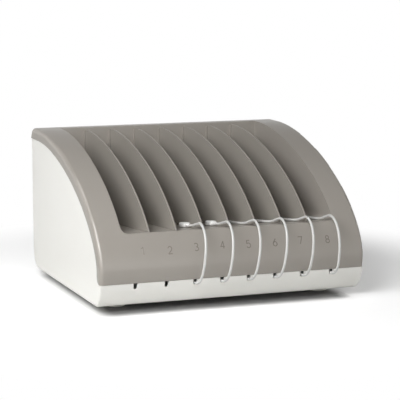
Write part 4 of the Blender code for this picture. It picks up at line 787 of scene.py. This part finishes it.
shading_tree, limit_socket, distance_socket = smooth_shading_tree()
for name, thing in cad_nodes.items():
    shading = thing.modifiers.new("smooth_by_angle", "NODES")
    shading.node_group = shading_tree
    shading[limit_socket] = SMOOTH_LIMIT
    shading[distance_socket] = JOIN_DISTANCE
    weighted = thing.modifiers.new("weighted_normals", "WEIGHTED_NORMAL")
    weighted.keep_sharp = True
print("smoothed nodes:", len(cad_nodes))

# %% [markdown]
# ## Studio
#
# The photograph is a plain product shot: a white floor that runs into a white background, and a soft
# shadow to the right. A real studio would hang a sheet of paper in a long curve. Here a flat floor
# does it: for the camera it turns plain white a little way from the object, so the shadow stays and
# no horizon shows. Close to the object the camera sees the paper lifted by a faint haze. Right
# beneath the object a contact shadow is painted: the camera sees a darker paper there, without haze.
# From below, the floor is clear, so that the feet and the vents can be looked at.

# %% The floor
FLOOR_HALF_SIZE = 6.0
FLOOR_LEVEL = -0.0001
FLOOR_NEAR = 0.31
FLOOR_FAR = 0.52
FLOOR_LIFT = 0.24
# How much of the far floor's white shows in gloss and in clear things.
FLOOR_IN_GLOSS = 0.4
FLOOR_SEEN = "#FFFFFF"
FLOOR_BOUNCE = "#E6E6E4"
# Colour of the painted contact shadow: the darker paper that the camera sees right beneath the
# object.
FLOOR_PAINTED_SHADOW = "#8C8C8C"
# The painted contact shadow's footprint on each axis: where it begins, and where it is full.
PAINTED_SHADOW_EDGES = (("X", -0.187, -0.152), ("X", 0.172, 0.142),
                   ("Y", -0.168, -0.138), ("Y", 0.150, 0.100))
WHITE = (1, 1, 1, 1)


def floor_material():
    """Matte paper near the object, plain white for the camera farther away, clear from below."""
    material, tree, place = new_material("matt_white_floor")
    rays = add_node(tree, "ShaderNodeLightPath").outputs
    by_camera = rays["Is Camera Ray"]
    away = add_node(tree, "ShaderNodeVectorMath", {0: place}, operation="LENGTH")
    fade = remap(tree, away.outputs["Value"], FLOOR_NEAR, FLOOR_FAR, interpolation="SMOOTHSTEP")
    mirrored = compute(tree, "MAXIMUM", rays["Is Glossy Ray"], rays["Is Transmission Ray"])
    straight = compute(tree, "MULTIPLY_ADD", mirrored, FLOOR_IN_GLOSS, by_camera)
    white_share = compute(tree, "MULTIPLY", straight, fade)

    # Painted contact shadow: a soft footprint beneath the object, where the camera sees darker paper.
    axes = add_node(tree, "ShaderNodeSeparateXYZ", {0: place}).outputs
    edges = [remap(tree, axes[axis], outer, inner, interpolation="SMOOTHSTEP")
             for axis, outer, inner in PAINTED_SHADOW_EDGES]
    painted_shadow_mask = edges[0]
    for edge in edges[1:]:
        painted_shadow_mask = compute(tree, "MULTIPLY", painted_shadow_mask, edge)

    tone = blend(tree, linear(FLOOR_BOUNCE), linear(FLOOR_SEEN), by_camera)
    # Beneath the object the camera sees the painted shadow: darker paper, and no haze.
    dark = compute(tree, "MULTIPLY", painted_shadow_mask, by_camera)
    paper = add_node(tree, "ShaderNodeBsdfDiffuse",
                     {"Color": blend(tree, tone, linear(FLOOR_PAINTED_SHADOW), dark)})
    beside = compute(tree, "MULTIPLY", compute(tree, "SUBTRACT", 1.0, painted_shadow_mask), by_camera)
    haze = add_node(tree, "ShaderNodeEmission",
                    {"Color": WHITE, "Strength": compute(tree, "MULTIPLY", beside, FLOOR_LIFT)})
    lifted = add_node(tree, "ShaderNodeAddShader", {0: paper.outputs[0], 1: haze.outputs[0]})
    plain = add_node(tree, "ShaderNodeEmission", {"Color": WHITE, "Strength": 1.0})
    above = add_node(tree, "ShaderNodeMixShader",
                     {0: white_share, 1: lifted.outputs[0], 2: plain.outputs[0]})
    below = add_node(tree, "ShaderNodeBsdfTransparent")
    side = add_node(tree, "ShaderNodeNewGeometry").outputs["Backfacing"]
    surface(tree, add_node(tree, "ShaderNodeMixShader",
                           {0: side, 1: above.outputs[0], 2: below.outputs[0]}))
    return material


floor_mesh = bpy.data.meshes.new("white_floor")
floor_mesh.from_pydata([(x * FLOOR_HALF_SIZE, y * FLOOR_HALF_SIZE, FLOOR_LEVEL)
                        for x, y in ((-1, -1), (1, -1), (1, 1), (-1, 1))], [], [(0, 1, 2, 3)])
floor = bpy.data.objects.new("white_floor", floor_mesh)
bpy.context.scene.collection.objects.link(floor)
floor_mesh.materials.append(floor_material())
print("floor half size:", FLOOR_HALF_SIZE, "m")

# %% [markdown]
# ### The room's light
#
# The camera sees a plain white world. The world lights the scene only faintly, and gloss sees it
# bright at the horizon and dark above, as in a studio with white walls and a dark ceiling.

# %% The world
SKY_LOW = 0.09
SKY_HIGH = 0.06
GLOSS_HIGH = 0.10
GLOSS_HORIZON = (0.05, 0.6)


def studio_world():
    """White for the camera, dim for the scene, with a bright low band for gloss."""
    world = bpy.data.worlds.new("studio")
    world.use_nodes = True
    tree = world.node_tree
    tree.nodes.clear()
    rays = add_node(tree, "ShaderNodeLightPath").outputs
    heading = add_node(tree, "ShaderNodeTexCoord")
    rise = add_node(tree, "ShaderNodeSeparateXYZ", {0: heading.outputs["Generated"]}).outputs["Z"]
    dome = remap(tree, rise, 0.0, 1.0, SKY_LOW, SKY_HIGH)
    shine = remap(tree, rise, *GLOSS_HORIZON, 1.0, GLOSS_HIGH)
    lighting = add_node(tree, "ShaderNodeMix", {0: rays["Is Glossy Ray"], 2: dome, 3: shine})
    seen = compute(tree, "MAXIMUM", rays["Is Camera Ray"], rays["Is Transmission Ray"])
    strength = add_node(tree, "ShaderNodeMix", {0: seen, 2: lighting.outputs[0], 3: 1.0})
    sky = add_node(tree, "ShaderNodeBackground",
                   {"Color": WHITE, "Strength": strength.outputs[0]})
    add_node(tree, "ShaderNodeOutputWorld", {"Surface": sky.outputs[0]})
    return world


bpy.context.scene.world = studio_world()
bpy.context.scene.view_settings.view_transform = "Standard"
print("world:", bpy.context.scene.world.name)

# %% [markdown]
# ### Lamps
#
# The key light is a large soft box at the front left, about 40 degrees up. Weaker ones at the
# front, the right and the back keep every side readable. The last two stand low, so that they
# reach the walls and hardly the top, and gloss doesn't see them. The thin bright line on the
# cover's left ridge comes from a long narrow lamp that only gloss sees, as a strip box gives it.
# Each lamp is a row: its place, what it points at, its size and its power in watts.

# %% Lamps
KEY = ((-1.01, -0.71, 1.10), (0, 0, 0.08), 1.15, 27.5)
FILL = ((0.0, -1.95, 0.50), (0, 0, 0.08), 1.2, 4.5)
BACK = ((0.7, 1.85, 0.30), (0, 0, 0.08), 1.0, 6.5)
RIGHT = ((2.0, -0.3, 0.30), (0, 0, 0.08), 1.0, 8.5)
GLINT = ((-0.95, -0.30, 1.05), (-0.17, -0.09, 0.10), (1.9, 0.22), 20.0)
GLINT_ALONG = Vector((0.16, 0.80, 0.58))


def softbox(name, place, aim, size, power):
    """Square area light at a place, turned to a point."""
    data = bpy.data.lights.new(name, "AREA")
    data.size = size
    data.energy = power
    lamp = bpy.data.objects.new(name, data)
    lamp.location = place
    lamp.rotation_euler = (Vector(aim) - Vector(place)).to_track_quat("-Z", "Y").to_euler()
    lamp.visible_camera = False
    bpy.context.scene.collection.objects.link(lamp)
    return lamp


def strip_light(name, place, aim, sides, power, along):
    """Long narrow area light whose long side runs in a given direction; only gloss sees it."""
    lamp = softbox(name, place, aim, sides[0], power)
    lamp.data.shape = "RECTANGLE"
    lamp.data.size_y = sides[1]
    back = (Vector(place) - Vector(aim)).normalized()
    long_side = (along - along.dot(back) * back).normalized()
    axes = Matrix((long_side, back.cross(long_side), back)).transposed().to_4x4()
    lamp.matrix_world = Matrix.Translation(place) @ axes
    lamp.visible_diffuse = False
    return lamp


softbox("key_left", *KEY)
softbox("front_fill", *FILL)
for name, levels in (("back_fill", BACK), ("right_fill", RIGHT)):
    softbox(name, *levels).visible_glossy = False
strip_light("ridge_glint", *GLINT, GLINT_ALONG)
print("lamps:", len(bpy.data.lights))
